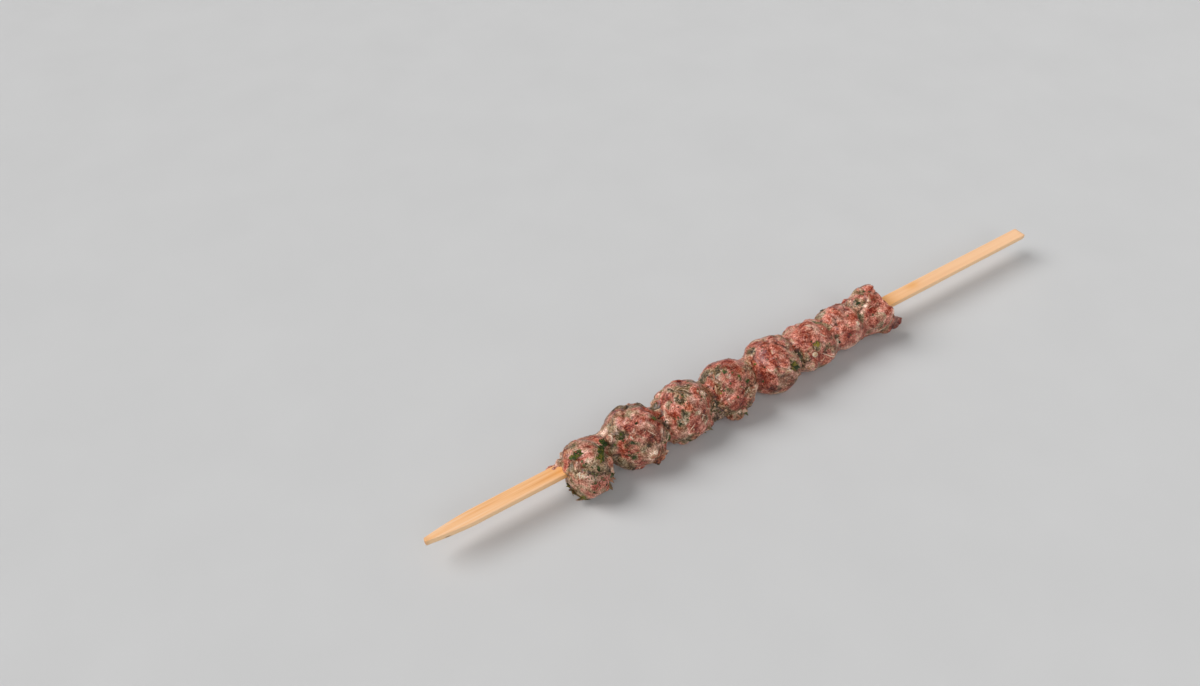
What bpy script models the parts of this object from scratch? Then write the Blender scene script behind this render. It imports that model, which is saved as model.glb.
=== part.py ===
"""Raw kofta skewer: seasoned mince pressed in eight lumps along a flat bamboo stick.

The stick lies level along +X, from its point to its square-cut end, and the mince rests on
the ground at z = 0.  The origin is on the ground, under the middle of the skewer.  Lengths
are in metres.  Places are given as millimetres along the stick from its point, and across
it and up from its axis.
"""

import math

import bmesh
import bpy
from mathutils import Euler, Matrix, Vector

MM = 0.001

# The bamboo stick.  Its axis lies a little to one side of the origin, which is under the
# middle of the whole skewer, because the mince hangs further out on the other side.
STICK_LENGTH = 300 * MM
STICK_WIDTH = 5.8 * MM
STICK_THICKNESS = 2.5 * MM
STICK_AXIS_HEIGHT = 11.0 * MM
STICK_AXIS_SIDE = 1.1 * MM
STICK_CHAMFER = 0.35 * MM
CHAMFER_ANGLE = math.radians(30)

# Its point: blunt, with full rather than straight sides.
POINT_LENGTH = 18 * MM
POINT_WIDTH = 1.8 * MM
POINT_FULLNESS = 1.45
POINT_SECTIONS = 6

# The gap that the mince keeps to the stick.
STICK_GAP = 0.3 * MM

# The lumps, from the point towards the square end.  Each is an egg: the place of its middle
# along the stick, its size along, across and up, how far its middle is pushed across and up
# from the stick's axis, and its lean about the vertical in degrees.
LUMPS = (
    (62.8, (18.6, 22.8, 22.0), (-2.9, -1.9), 8),
    (84.2, (25.0, 25.2, 24.2), (-0.7, -0.4), -6),
    (106.2, (27.0, 23.2, 22.4), (-1.0, -0.6), 6),
    (127.5, (25.0, 24.2, 23.2), (-1.4, -0.8), 4),
    (148.8, (26.0, 23.8, 23.2), (-0.9, -0.4), -5),
    (170.0, (25.0, 20.8, 20.6), (-0.5, -1.2), 6),
    (187.5, (21.0, 19.4, 19.4), (0.6, -0.9), -4),
    (205.0, (24.0, 20.2, 20.0), (0.4, -0.9), 0),
)

# Smaller bulges on the lumps: the place of the middle along the stick, across it and up
# from its axis, and the size along, across and up.
BULGES = (
    (60.5, -8.8, -3.6, (11.0, 9.0, 9.0)),
    (90.0, -9.8, -4.6, (9.0, 8.0, 8.0)),
    (129.5, -9.0, -5.0, (11.0, 9.0, 8.0)),
    (145.0, 6.6, 3.4, (9.0, 8.0, 8.0)),
    (210.0, 6.8, 4.8, (9.0, 7.0, 7.0)),
    (212.0, -7.2, -4.6, (13.0, 7.4, 6.4)),
)

# The neck of mince along the stick that joins the lumps.
NECK_START = 53.5
NECK_END = 215.5
NECK_RADIUS = 6.6
NECK_SIDES = 32

# The far end of the mince is hollow, as if a ball had been pressed into it.
HOLLOW_RADIUS = 18.0
HOLLOW_MIDDLE = (226.6, 2.0, 2.0)
HOLLOW_MERIDIANS = 32
HOLLOW_RINGS = 20

# The skin over the lumps, and how uneven the pressing hand leaves it.
SKIN_CELL = 2.1 * MM
CREASE_SOFTENING = 0.5
UNEVENNESS = 1.2 * MM
UNEVENNESS_SIZE = 7.0 * MM
UNEVENNESS_MIDDLE = 0.6

EGG_SUBDIVISIONS = 3
CUTTER_REACH = 40 * MM

MINCE_RED = (0.36, 0.10, 0.085, 1.0)
MINCE_ROUGHNESS = 0.5
BAMBOO_TAN = (0.80, 0.52, 0.24, 1.0)
BAMBOO_ROUGHNESS = 0.6


def clear_scene():
    """Remove the objects that the opened file holds."""
    for old in list(bpy.data.objects):
        bpy.data.objects.remove(old, do_unlink=True)


def new_collection(name):
    """Make a collection in the scene."""
    collection = bpy.data.collections.new(name)
    bpy.context.scene.collection.children.link(collection)
    return collection


def new_material(name, colour, roughness):
    """Make a plain Principled material."""
    material = bpy.data.materials.new(name)
    material.use_nodes = True
    shader = material.node_tree.nodes["Principled BSDF"]
    shader.inputs["Base Color"].default_value = colour
    shader.inputs["Roughness"].default_value = roughness
    shader.inputs["Metallic"].default_value = 0.0
    return material


def new_object(name, shape, collection, material=None):
    """Turn a bmesh into a named object."""
    mesh = bpy.data.meshes.new(name)
    shape.to_mesh(mesh)
    shape.free()
    if material:
        mesh.materials.append(material)
    made = bpy.data.objects.new(name, mesh)
    collection.objects.link(made)
    return made


def place(along, across=0.0, up=0.0):
    """The point at these millimetres from the stick's tip and from its axis."""
    return Vector(
        (
            along * MM - STICK_LENGTH / 2,
            across * MM + STICK_AXIS_SIDE,
            up * MM + STICK_AXIS_HEIGHT,
        )
    )


def add_egg(shape, middle, size, lean=0.0):
    """Add an ellipsoid with its size in millimetres, turned about the vertical."""
    turn = Euler((0, 0, math.radians(lean)))
    matrix = Matrix.LocRotScale(middle, turn, Vector(size) * MM / 2)
    bmesh.ops.create_icosphere(shape, subdivisions=EGG_SUBDIVISIONS, radius=1.0, matrix=matrix)


def add_box(shape, low, high):
    """Add a box between two corners."""
    matrix = Matrix.LocRotScale((low + high) / 2, None, high - low)
    bmesh.ops.create_cube(shape, size=1.0, matrix=matrix)


def add_stick_box(shape, gap=0.0):
    """Add the stick's whole box, with a gap all round its sides."""
    half = Vector((0, STICK_WIDTH / 2 + gap, STICK_THICKNESS / 2 + gap))
    add_box(shape, place(0) - half, place(STICK_LENGTH / MM) + half)


def stick_share(along):
    """How wide the stick is at a distance from its tip, as a share of its full width."""
    left = max(0.0, 1.0 - along / POINT_LENGTH)
    return 1.0 - (1.0 - POINT_WIDTH / STICK_WIDTH) * left**POINT_FULLNESS


def make_stick(collection, material):
    """A flat strip, narrowed to a blunt point at the near end and cut square at the other."""
    shape = bmesh.new()
    add_stick_box(shape)
    tip = place(0)
    for section in range(1, POINT_SECTIONS + 1):
        bmesh.ops.bisect_plane(
            shape,
            geom=shape.verts[:] + shape.edges[:] + shape.faces[:],
            plane_co=tip + Vector((POINT_LENGTH * section / POINT_SECTIONS, 0, 0)),
            plane_no=(1, 0, 0),
        )
    for vertex in shape.verts:
        across = vertex.co.y - tip.y
        vertex.co.y = tip.y + across * stick_share(vertex.co.x - tip.x)
    stick = new_object("bamboo_stick", shape, collection, material)
    bevel = stick.modifiers.new("Rounded edges", "BEVEL")
    bevel.width = STICK_CHAMFER
    bevel.segments = 2
    bevel.limit_method = "ANGLE"
    bevel.angle_limit = CHAMFER_ANGLE


def add_neck(shape):
    """Add the round core of mince that runs through all the lumps."""
    bmesh.ops.create_cone(
        shape,
        cap_ends=True,
        segments=NECK_SIDES,
        radius1=NECK_RADIUS * MM,
        radius2=NECK_RADIUS * MM,
        depth=(NECK_END - NECK_START) * MM,
        matrix=Matrix.LocRotScale(
            place((NECK_START + NECK_END) / 2), Euler((0, math.pi / 2, 0)), None
        ),
    )


def grow_skin(meat):
    """Join the lumps under one skin, and leave it as uneven as a hand does."""
    remesh = meat.modifiers.new("One skin", "REMESH")
    remesh.mode = "VOXEL"
    remesh.voxel_size = SKIN_CELL

    smooth = meat.modifiers.new("Softened creases", "SMOOTH")
    smooth.factor = CREASE_SOFTENING
    smooth.iterations = 1

    pressing = bpy.data.textures.new("Pressed by hand", "CLOUDS")
    pressing.noise_scale = UNEVENNESS_SIZE
    pressing.noise_depth = 1
    uneven = meat.modifiers.new("Uneven skin", "DISPLACE")
    uneven.texture = pressing
    uneven.texture_coords = "LOCAL"
    uneven.strength = UNEVENNESS
    uneven.mid_level = UNEVENNESS_MIDDLE


def cut(target, name, shape, collection):
    """Take a shape out of the target."""
    cutter = new_object(name, shape, collection)
    cutter.hide_render = True
    cutter.display_type = "WIRE"
    boolean = target.modifiers.new("Cut by " + name, "BOOLEAN")
    boolean.operation = "DIFFERENCE"
    boolean.solver = "EXACT"
    boolean.object = cutter


def ground_block():
    """All that is under the ground plane."""
    shape = bmesh.new()
    reach = Vector((STICK_LENGTH, CUTTER_REACH, CUTTER_REACH))
    add_box(shape, -reach, Vector((reach.x, reach.y, 0)))
    return shape


def end_ball():
    """The ball that hollows the far end of the mince."""
    shape = bmesh.new()
    bmesh.ops.create_uvsphere(
        shape,
        u_segments=HOLLOW_MERIDIANS,
        v_segments=HOLLOW_RINGS,
        radius=HOLLOW_RADIUS * MM,
        matrix=Matrix.Translation(place(*HOLLOW_MIDDLE)),
    )
    return shape


def stick_slot():
    """The stick's box with its gap to the mince."""
    shape = bmesh.new()
    add_stick_box(shape, STICK_GAP)
    return shape


def make_meat(collection, cutters, material):
    """The mince: lumps, bulges and neck grown into one body that the stick runs through."""
    shape = bmesh.new()
    for along, size, (across, up), lean in LUMPS:
        add_egg(shape, place(along, across, up), size, lean)
    for along, across, up, size in BULGES:
        add_egg(shape, place(along, across, up), size)
    add_neck(shape)
    meat = new_object("meat", shape, collection, material)
    grow_skin(meat)
    cut(meat, "ground_cutter", ground_block(), cutters)
    cut(meat, "end_cutter", end_ball(), cutters)
    cut(meat, "slot_cutter", stick_slot(), cutters)


def main():
    clear_scene()
    parts = new_collection("kofta_skewer")
    cutters = new_collection("cutters")
    make_stick(parts, new_material("bamboo", BAMBOO_TAN, BAMBOO_ROUGHNESS))
    make_meat(parts, cutters, new_material("mince", MINCE_RED, MINCE_ROUGHNESS))


main()
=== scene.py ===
# The looks of a raw kofta skewer: seasoned mince pressed in eight lumps along a flat bamboo
# stick.  Shapes are worked in millimetres, with places given as in the CAD: along the stick
# from its tip, across it and up from its axis.  A place on the mince's skin is given by how
# far along the stick it is, and by its angle about the stick: 0 is straight up, and 90 is
# level on the side of -Y.

import math
import random

import bmesh
import bpy
import numpy as np
from mathutils import Matrix, Vector
from mathutils.bvhtree import BVHTree


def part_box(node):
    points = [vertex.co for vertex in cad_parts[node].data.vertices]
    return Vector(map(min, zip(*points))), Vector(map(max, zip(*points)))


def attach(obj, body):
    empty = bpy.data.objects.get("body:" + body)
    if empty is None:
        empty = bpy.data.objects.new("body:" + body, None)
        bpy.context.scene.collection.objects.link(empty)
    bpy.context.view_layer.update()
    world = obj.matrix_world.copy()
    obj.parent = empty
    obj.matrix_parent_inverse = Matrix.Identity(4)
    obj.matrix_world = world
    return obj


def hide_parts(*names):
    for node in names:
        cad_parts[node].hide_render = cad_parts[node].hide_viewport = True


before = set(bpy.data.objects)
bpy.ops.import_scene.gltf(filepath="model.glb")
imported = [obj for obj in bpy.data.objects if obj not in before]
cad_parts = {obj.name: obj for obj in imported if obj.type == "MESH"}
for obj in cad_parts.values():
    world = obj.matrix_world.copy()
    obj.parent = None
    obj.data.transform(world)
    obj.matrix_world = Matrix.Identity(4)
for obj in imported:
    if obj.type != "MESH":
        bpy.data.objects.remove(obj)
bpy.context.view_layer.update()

MM = 0.001
BODY = "root"

STICK_LOW, STICK_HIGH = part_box("bamboo_stick")
STICK_SIZE = (STICK_HIGH - STICK_LOW) / MM
MEAT_LOW, MEAT_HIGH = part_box("meat")
TIP = Vector((STICK_LOW.x, (STICK_LOW.y + STICK_HIGH.y) / 2, (STICK_LOW.z + STICK_HIGH.z) / 2))
TIP_MM = np.array(TIP) / MM

# ---------------------------------------------------------------- the mince's numbers

# The lumps: place along the stick; half length, half width and half height; push across and
# up; lean about the vertical in degrees; and fullness, where 2 is a plain egg.
LUMPS = (
    (62.0, (8.3, 11.2, 10.8), (-3.1, -1.6), -6, 2.3),
    (84.4, (11.8, 12.2, 11.8), (-0.6, -0.4), 10, 2.1),
    (106.6, (11.8, 11.2, 11.0), (-0.5, -0.3), 24, 2.5),
    (128.4, (11.2, 11.3, 11.2), (-0.7, -0.5), 2, 2.2),
    (151.0, (11.2, 11.7, 11.3), (-0.8, -0.8), -3, 2.2),
    (170.2, (12.2, 9.8, 9.7), (-0.5, -1.2), 0, 2.4),
    (187.8, (10.2, 9.4, 9.2), (0.2, -0.8), -4, 2.4),
    (208.6, (17.0, 10.1, 10.0), (0.4, -0.3), 0, 2.4),
)

# Smaller lobes and flaps: the place of the middle, and the full size.
LOBES = (
    (51.8, 2.3, 0.2, (7.4, 2.8, 2.5)), (55.2, 2.2, 0.2, (4.6, 4.6, 4.4)),
    (60.4, -9.2, -4.8, (10.0, 8.0, 8.0)), (88.6, -9.6, -5.0, (8.0, 6.6, 6.6)),
    (84.8, -10.0, 1.4, (7.0, 6.2, 6.2)), (88.6, -10.8, -2.2, (6.4, 5.0, 4.4)),
    (90.2, -12.2, -2.6, (3.4, 3.0, 2.4)), (112.2, -7.2, -4.2, (8.0, 6.8, 6.8)),
    (127.0, -8.8, -5.2, (11.0, 8.6, 8.0)), (133.6, 5.4, 3.6, (7.0, 6.4, 6.4)),
    (149.8, 6.6, 3.6, (8.0, 7.2, 7.2)), (155.2, -6.4, -4.4, (9.0, 7.6, 7.6)),
    (206.4, 5.8, 4.6, (15.0, 7.0, 7.0)), (194.6, -5.0, -3.0, (7.0, 6.4, 6.4)),
    (211.0, -7.3, -5.0, (13.0, 6.4, 6.0)), (118.6, -6.0, -3.0, (8.6, 6.8, 6.8)),
)

NECK_START = 56.5
NECK_END = 214.0
NECK_RADIUS = 6.4
NECK_SIDES = 64

# The far end: how far along the stick the rim reaches at each angle about it, and how far
# along the middle of the end's dish is.
RIM = (
    (-180, 211.0), (-90, 211.5), (-48, 211.0), (-20, 208.0), (0, 206.4), (45, 206.8), (60, 207.8),
    (75, 209.2), (92, 213.0), (105, 216.0), (122, 215.5), (145, 212.0), (180, 211.0),
)
DISH_MIDDLE = 207.0
DISH_RADIUS = 9.0
DISH_UNEVEN = 0.8
DISH_UNEVEN_SIZE = 3.0

SKIN_CELL = 0.425
SADDLE_ROUNDS = 8
EGG_SUBDIVISIONS = 5

# ------------------------------------------------------------------------- noise

# Large odd numbers that scramble a cell's place, and the range of what they come to.
HASH = np.array((73856093, 19349663, 83492791), np.int64)
HASH_SALT = 668265263
HASH_TURNS = (2246822519, 3266489917)
HASH_TOP = 0xFFFFF
FAR = 9.0


def chance(cells, salt):
    """A repeatable random number from 0 to 1 for each whole-numbered cell."""
    mixed = cells.astype(np.int64) @ HASH + salt * HASH_SALT
    mixed = (mixed ^ (mixed >> 15)) * HASH_TURNS[0]
    mixed = (mixed ^ (mixed >> 13)) * HASH_TURNS[1]
    return ((mixed ^ (mixed >> 16)) & HASH_TOP) / HASH_TOP


def soft_noise(points, size, salt=0):
    """Smooth noise from -1 to 1, with lumps of about this size."""
    scaled = points / size
    low = np.floor(scaled)
    part = scaled - low
    part = part * part * (3 - 2 * part)
    total = np.zeros(len(points))
    for corner in np.ndindex(2, 2, 2):
        weight = np.prod(np.where(corner, part, 1 - part), axis=1)
        total += weight * chance(low + corner, salt)
    return total * 2 - 1


def rough_noise(points, size, salt=0):
    """Soft noise with a second layer of half its size and strength."""
    finer = soft_noise(points[:, [1, 2, 0]], size / 2, salt + 1)
    return (soft_noise(points, size, salt) + finer / 2) / 1.5


def swirl(points, size, reach, salt=0):
    """The points moved about smoothly, so that a pattern read there is swirled."""
    moved = [soft_noise(points, size, salt + axis) for axis in range(3)]
    return points + reach * np.stack(moved, 1)


def grains(points, size, salt=0):
    """For each point, the edge distance and the random number of the grain that it is in."""
    scaled = points / size
    low = np.floor(scaled)
    nearest = np.full(len(points), FAR)
    second = np.full(len(points), FAR)
    tone = np.zeros(len(points))
    for step in np.ndindex(3, 3, 3):
        cell = low + step - 1
        middle = cell + np.stack([chance(cell, salt + axis) for axis in range(3)], 1)
        distance = np.linalg.norm(scaled - middle, axis=1)
        closer = distance < nearest
        second = np.where(closer, nearest, np.minimum(second, distance))
        tone = np.where(closer, chance(cell, salt + 3), tone)
        nearest = np.where(closer, distance, nearest)
    return (second - nearest) * size, tone


def ramp(value, low, high):
    """0 below low, 1 above high and a smooth rise between."""
    share = np.clip((value - low) / (high - low), 0, 1)
    return share * share * (3 - 2 * share)


# ------------------------------------------------------------------------- meshes


def place(along, across=0.0, up=0.0):
    """The point at these millimetres from the stick's tip and from its axis, in metres."""
    return TIP + Vector((along, across, up)) * MM


def read(items, name, kind, width):
    """What a mesh's items keep under a name, a row for each."""
    flat = np.empty(len(items) * width, kind)
    items.foreach_get(name, flat)
    return flat.reshape(-1, width)


def read_points(mesh):
    """A mesh's points in millimetres."""
    return read(mesh.vertices, "co", np.float32, 3).astype(float) / MM


def write_points(mesh, points):
    """Put a mesh's points at these millimetres."""
    mesh.vertices.foreach_set("co", (points * MM).astype(np.float32).ravel())
    mesh.update()


def read_normals(mesh):
    """A mesh's directions out of its skin."""
    return read(mesh.vertex_normals, "vector", np.float32, 3).astype(float)


def write_value(mesh, name, values):
    """Keep one number for each point of a mesh, for its material to read."""
    kept = mesh.attributes.new(name, "FLOAT", "POINT")
    kept.data.foreach_set("value", values.astype(np.float32))


def relax(values, edges, rounds):
    """Values at the points, each blended with its neighbours' again and again."""
    count = np.bincount(edges.ravel(), minlength=len(values))[:, None]
    both = np.concatenate([edges, edges[:, ::-1]])
    for _ in range(rounds):
        near = [
            np.bincount(both[:, 0], values[both[:, 1], axis], len(values))
            for axis in range(values.shape[1])
        ]
        values = (values + np.stack(near, 1) / count) / 2
    return values


def add_to_scene(name, data):
    """A new object in the scene."""
    made = bpy.data.objects.new(name, data)
    bpy.context.scene.collection.objects.link(made)
    return made


def new_object(name, mesh, material):
    """Put a mesh in the scene, smooth and with its material."""
    mesh.materials.clear()
    mesh.materials.append(material)
    mesh.shade_smooth()
    return add_to_scene(name, mesh)


def mesh_of(shape, name):
    """The mesh that a bmesh becomes."""
    mesh = bpy.data.meshes.new(name)
    shape.to_mesh(mesh)
    shape.free()
    return mesh


# ---------------------------------------------------------------- the mince's shape


def add_egg(shape, middle, half_size, lean=0.0, fullness=2.0):
    """Add an egg, or with more fullness a form between an egg and a barrel."""
    made = bmesh.ops.create_icosphere(shape, subdivisions=EGG_SUBDIVISIONS, radius=1.0)
    power = 2 / fullness
    turn = Matrix.Rotation(math.radians(lean), 3, "Z")
    for vertex in made["verts"]:
        at = vertex.co.normalized()
        ring = math.hypot(at.y, at.z)
        fuller = ring**power / max(ring, 1e-9)
        full = Vector((math.copysign(abs(at.x) ** power, at.x), at.y * fuller, at.z * fuller))
        vertex.co = middle + turn @ Vector(a * b * MM for a, b in zip(full, half_size))


def one_skin(mesh):
    """The mesh that loose, overlapping forms become when they are joined and smoothed."""
    carrier = add_to_scene("carrier", mesh)
    remesh = carrier.modifiers.new("One skin", "REMESH")
    remesh.mode = "VOXEL"
    remesh.voxel_size = SKIN_CELL * MM
    smooth = carrier.modifiers.new("Softened saddles", "SMOOTH")
    smooth.factor = 0.5
    smooth.iterations = SADDLE_ROUNDS
    graph = bpy.context.evaluated_depsgraph_get()
    made = bpy.data.meshes.new_from_object(carrier.evaluated_get(graph))
    bpy.data.objects.remove(carrier)
    bpy.data.meshes.remove(mesh)
    made.name = "mince"
    return made


def pressed_lumps():
    """All the lumps, lobes and the neck between them under one fine skin."""
    shape = bmesh.new()
    for along, half_size, (across, up), lean, fullness in LUMPS:
        add_egg(shape, place(along, across, up), half_size, lean, fullness)
    for along, across, up, size in LOBES:
        add_egg(shape, place(along, across, up), [side / 2 for side in size])
    neck = Matrix.Translation(place((NECK_START + NECK_END) / 2))
    bmesh.ops.create_cone(
        shape,
        cap_ends=True,
        segments=NECK_SIDES,
        radius1=NECK_RADIUS * MM,
        radius2=NECK_RADIUS * MM,
        depth=(NECK_END - NECK_START) * MM,
        matrix=neck @ Matrix.Rotation(math.pi / 2, 4, "Y"),
    )
    return one_skin(mesh_of(shape, "mince"))


def angles_about_stick(points):
    """Each point's angle about the stick's axis, in degrees."""
    return np.degrees(np.arctan2(TIP_MM[1] - points[:, 1], points[:, 2] - TIP_MM[2]))


def hollow_end(points):
    """Press the far end in to its rim, and dish it a little inside the rim."""
    out = np.hypot(points[:, 1] - TIP_MM[1], points[:, 2] - TIP_MM[2])
    angle, along = np.array(RIM).T
    rim = np.interp(angles_about_stick(points), angle, along)
    limit = DISH_MIDDLE + (rim - DISH_MIDDLE) * ramp(out, 0, DISH_RADIUS)
    limit = limit + DISH_UNEVEN * soft_noise(points * (0.2, 1, 1), DISH_UNEVEN_SIZE, 141)
    pressed = points.copy()
    pressed[:, 0] = np.minimum(points[:, 0], TIP_MM[0] + limit)
    return pressed


# Lines on the skin.  A fold's skin is lifted on its left side, as seen from outside when
# walking along the line, and fades back into the lump; beyond the line it drops sharply.
# Each fold: lift, reach of the fade, and the line's places as (along, angle).
FOLDS = (
    (0.6, 3.5, ((139.0, 30), (140.2, -10), (145.8, -24), (152.1, -10), (156.4, 22), (157.6, 50))),
    (1.4, 5.0, ((156.5, 84), (153.5, 74), (146.5, 55), (143.0, 50))),
    (1.3, 4.0, ((140.5, 80), (137.0, 74), (131.4, 64), (128.0, 62))),
    (0.6, 3.5, ((171.4, -26), (171.2, -5), (171.4, 29), (173.0, 56), (176.5, 70))),
    (0.6, 3.0, ((180.5, 106), (176.0, 96), (171.5, 80), (168.2, 66))),
    (1.5, 4.0, ((84.6, 16), (86.6, 36), (87.4, 58), (88.4, 80))),
    (1.1, 4.0, ((94.2, 24), (94.6, 45), (93.6, 62), (90.8, 84))),
    (0.7, 3.5, ((76.6, 42), (76.2, 24), (75.0, 8), (75.6, -12))),
    (0.6, 3.5, ((112.6, 34), (108.6, 16), (105.5, 2), (103.0, -16), (104.0, -34))),
    (0.6, 3.0, ((122.5, 36), (121.0, 14), (120.4, -10), (121.0, -34))),
    (0.6, 3.5, ((203.5, -22), (201.4, 4), (197.5, 20), (193.6, 34))),
    (0.5, 3.0, ((186.0, 34), (183.6, 16), (182.0, -6), (182.4, -28))),
)

# Creases: depth, width, and the line's places.
CREASES = (
    (1.1, 1.8, ((71.6, -90), (71.2, -50), (71.4, -20), (72.2, 20), (72.0, 60), (72.6, 100))),
    (0.4, 1.4, ((95.8, -60), (95.6, -20), (95.4, 30), (95.6, 70), (94.6, 110))),
    (0.4, 1.4, ((118.4, -60), (117.6, -15), (118.6, 30), (117.8, 70), (118.8, 110))),
    (0.6, 1.3, ((139.4, -60), (138.8, -10), (139.6, 40), (139.4, 80), (139.0, 120))),
    (0.7, 1.2, ((160.4, -60), (160.0, -10), (160.2, 30), (160.6, 70), (161.2, 110))),
    (0.6, 1.1, ((179.6, -60), (180.0, -20), (181.0, 30), (180.4, 70), (181.0, 115))),
    (1.5, 0.7, ((182.8, 0), (182.5, 10), (182.0, 20), (181.8, 30))),
    (0.3, 1.2, ((194.4, -60), (194.8, -10), (195.6, 40), (196.8, 90), (197.0, 120))),
)

# Dents and knobs: place, half width and height, which is less than nothing for a dent.
DENTS = (
    (109.4, -26, 2.6, -1.8), (109.0, 8, 2.4, -1.6), (95.4, 55, 2.4, -0.8), (176.8, -26, 3.0, -1.4),
    (125.0, 17, 1.4, -0.9), (58.4, 17, 2.6, -0.9), (68.6, 32, 2.6, -0.5), (204.2, -32, 2.2, -1.2),
    (62.0, 76, 3.0, -1.1), (99.0, 30, 2.6, 1.1), (103.0, -28, 2.0, 1.2), (85.0, 81, 2.8, 1.8),
    (68.8, 66, 2.2, 1.1), (166.4, 10, 3.2, 1.1), (165.2, 91, 1.6, 1.2), (165.9, 67, 1.2, 0.8),
    (164.8, 51, 1.3, 0.7), (185.3, -16, 3.4, 0.8), (190.0, 50, 2.6, 0.7), (125.6, 78, 2.8, 0.8),
    (205.9, 56, 2.4, 0.8), (150.0, 92, 2.6, -1.3), (131.0, 84, 2.6, 0.7), (79.0, 30, 2.4, -0.8),
    (148.0, 69, 1.3, -0.8), (152.0, 80, 1.5, 0.6), (146.8, 87, 1.5, 0.5), (150.0, 100, 1.6, -0.7),
    (153.8, 89, 1.3, -0.6), (98.0, -58, 3.0, 0.8), (116.0, -58, 2.6, 0.7), (146.0, -58, 2.6, 0.7),
    (164.0, -58, 2.8, -1.1), (101.0, 114, 3.0, -1.2), (71.5, 112, 2.4, -1.0), (196.0, -70, 1.8, -0.8),
)


def outward(angle):
    """The direction out of the stick's axis at an angle about it."""
    return Vector((0, -math.sin(math.radians(angle)), math.cos(math.radians(angle))))


# How far out of the axis a search for the skin starts, and where it falls back to, in metres.
OUTSIDE = 0.04
NEAR_SKIN = 0.01

# How long a degree round the skin is, and how often a line on it is smoothed.
DEGREE_LENGTH = 0.19
LINE_ROUNDS = 6


class Skin:
    """The mince's skin, to find places on it by how far along and at what angle they are."""

    def __init__(self, mesh):
        shape = bmesh.new()
        shape.from_mesh(mesh)
        self.tree = BVHTree.FromBMesh(shape)
        shape.free()

    def at(self, along, angle):
        """The point and the direction out of the skin there."""
        out = outward(angle)
        found, normal, _, _ = self.tree.ray_cast(place(along) + out * OUTSIDE, -out)
        if found is None:
            found, normal, _, _ = self.tree.find_nearest(place(along) + out * NEAR_SKIN)
        return found, normal

    def line(self, places, step=0.35):
        """Points, in millimetres, about a step apart along a line on the skin."""
        places = np.array(places, float)
        spread = np.hypot(np.diff(places[:, 0]), np.diff(places[:, 1]) * DEGREE_LENGTH)
        reached = np.concatenate([[0], np.cumsum(spread)])
        wanted = np.arange(0, reached[-1], step)
        along = np.interp(wanted, reached, places[:, 0])
        angle = np.interp(wanted, reached, places[:, 1])
        found = [self.at(a, b)[0] for a, b in zip(along, angle)]
        points = np.array(found) / MM
        for _ in range(LINE_ROUNDS):
            points[1:-1] = (points[:-2] + 2 * points[1:-1] + points[2:]) / 4
        return points

    def nearness(self, points, along, angle, half_width):
        """1 for the points at a place on the skin, falling to 0 over about a width."""
        middle = np.array(self.at(along, angle)[0]) / MM
        distance = np.linalg.norm(points - middle, axis=1)
        return np.exp(-((distance / half_width) ** 2))


def beside_line(points, normals, line, reach):
    """The points near a line: which they are, how far to its left, and how far from its ends."""
    low = line.min(0) - reach
    high = line.max(0) + reach
    near = np.nonzero(((points > low) & (points < high)).all(1))[0]
    gap = points[near][:, None] - line[None]
    distance = np.linalg.norm(gap, axis=2)
    nearest = distance.argmin(1)
    rows = np.arange(len(near))
    distance = distance[rows, nearest]
    ahead = np.gradient(line, axis=0)
    right = np.cross(ahead[nearest], normals[near])
    left_side = (gap[rows, nearest] * right).sum(1) < 0
    length = len(line) - 1
    from_end = np.minimum(nearest, length - nearest) / length
    keep = distance < reach
    signed = np.where(left_side, distance, -distance)
    right /= np.linalg.norm(right, axis=1)[:, None] + 1e-9
    return near[keep], signed[keep], from_end[keep], right[keep]


# A fold's lip: how steep its drop is, how far it leans over, how far back that leaning goes,
# and how it wavers; the shade below it; and how soon folds and creases fade at their ends.
LIP_EDGE = 0.55
LIP_OVERHANG = 0.55
LIP_DEPTH = 0.9
LIP_WAVER = 0.7
LIP_SHADE = 0.7
END_FADE = 0.16
CREASE_WAVER = 0.8
CREASE_END_FADE = 0.12


def lift_folds(points, normals, skin):
    """Raise each fold's lip, and lean it a little over the skin below; also give the painted shade on the
    skin just below the lip.
    """
    moved = points.copy()
    under = np.zeros(len(points))
    waver = LIP_WAVER * soft_noise(points, 3.0, 71)
    for lift, reach, places in FOLDS:
        line = skin.line(places)
        near, left, from_end, right = beside_line(points, normals, line, reach)
        left = left + waver[near]
        fade = ramp(from_end, 0, END_FADE)
        raised = np.where(left > 0, 1 - ramp(left, 0, reach * 0.9), ramp(left, -LIP_EDGE, 0)) * fade
        moved[near] += normals[near] * (lift * raised)[:, None]
        lean = np.where(left > -LIP_EDGE, np.exp(-np.maximum(left, 0) / LIP_DEPTH), 0) * fade
        moved[near] += right * (lift * LIP_OVERHANG * lean)[:, None]
        # Painted shade on the skin just below the lip.
        shade = np.exp(-(((left + LIP_SHADE) / LIP_SHADE) ** 2)) * fade
        under[near] = np.maximum(under[near], shade)
    return moved, under


def press_creases(points, normals, skin):
    """How deep the creases are at each point."""
    depth = np.zeros(len(points))
    for deep, width, places in CREASES:
        line = skin.line(places, 0.5)
        near, left, from_end, _ = beside_line(points, normals, line, width * 3)
        across = left + CREASE_WAVER * soft_noise(points[near], 4.0, 81)
        shape = np.exp(-((across / width) ** 2)) * ramp(from_end, 0, CREASE_END_FADE)
        depth[near] = np.maximum(depth[near], deep * shape)
    return depth


def press_dents(points, skin):
    """How high the dents and knobs stand at each point."""
    height = np.zeros(len(points))
    for along, angle, half_width, rise in DENTS:
        height += rise * skin.nearness(points, along, angle, half_width)
    return height


GROUND = 0.0

# How ragged the finest relief may be, from the smoothest meat to the most herby.
RAGGED_RANGE = (0.2, 1.5)

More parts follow.
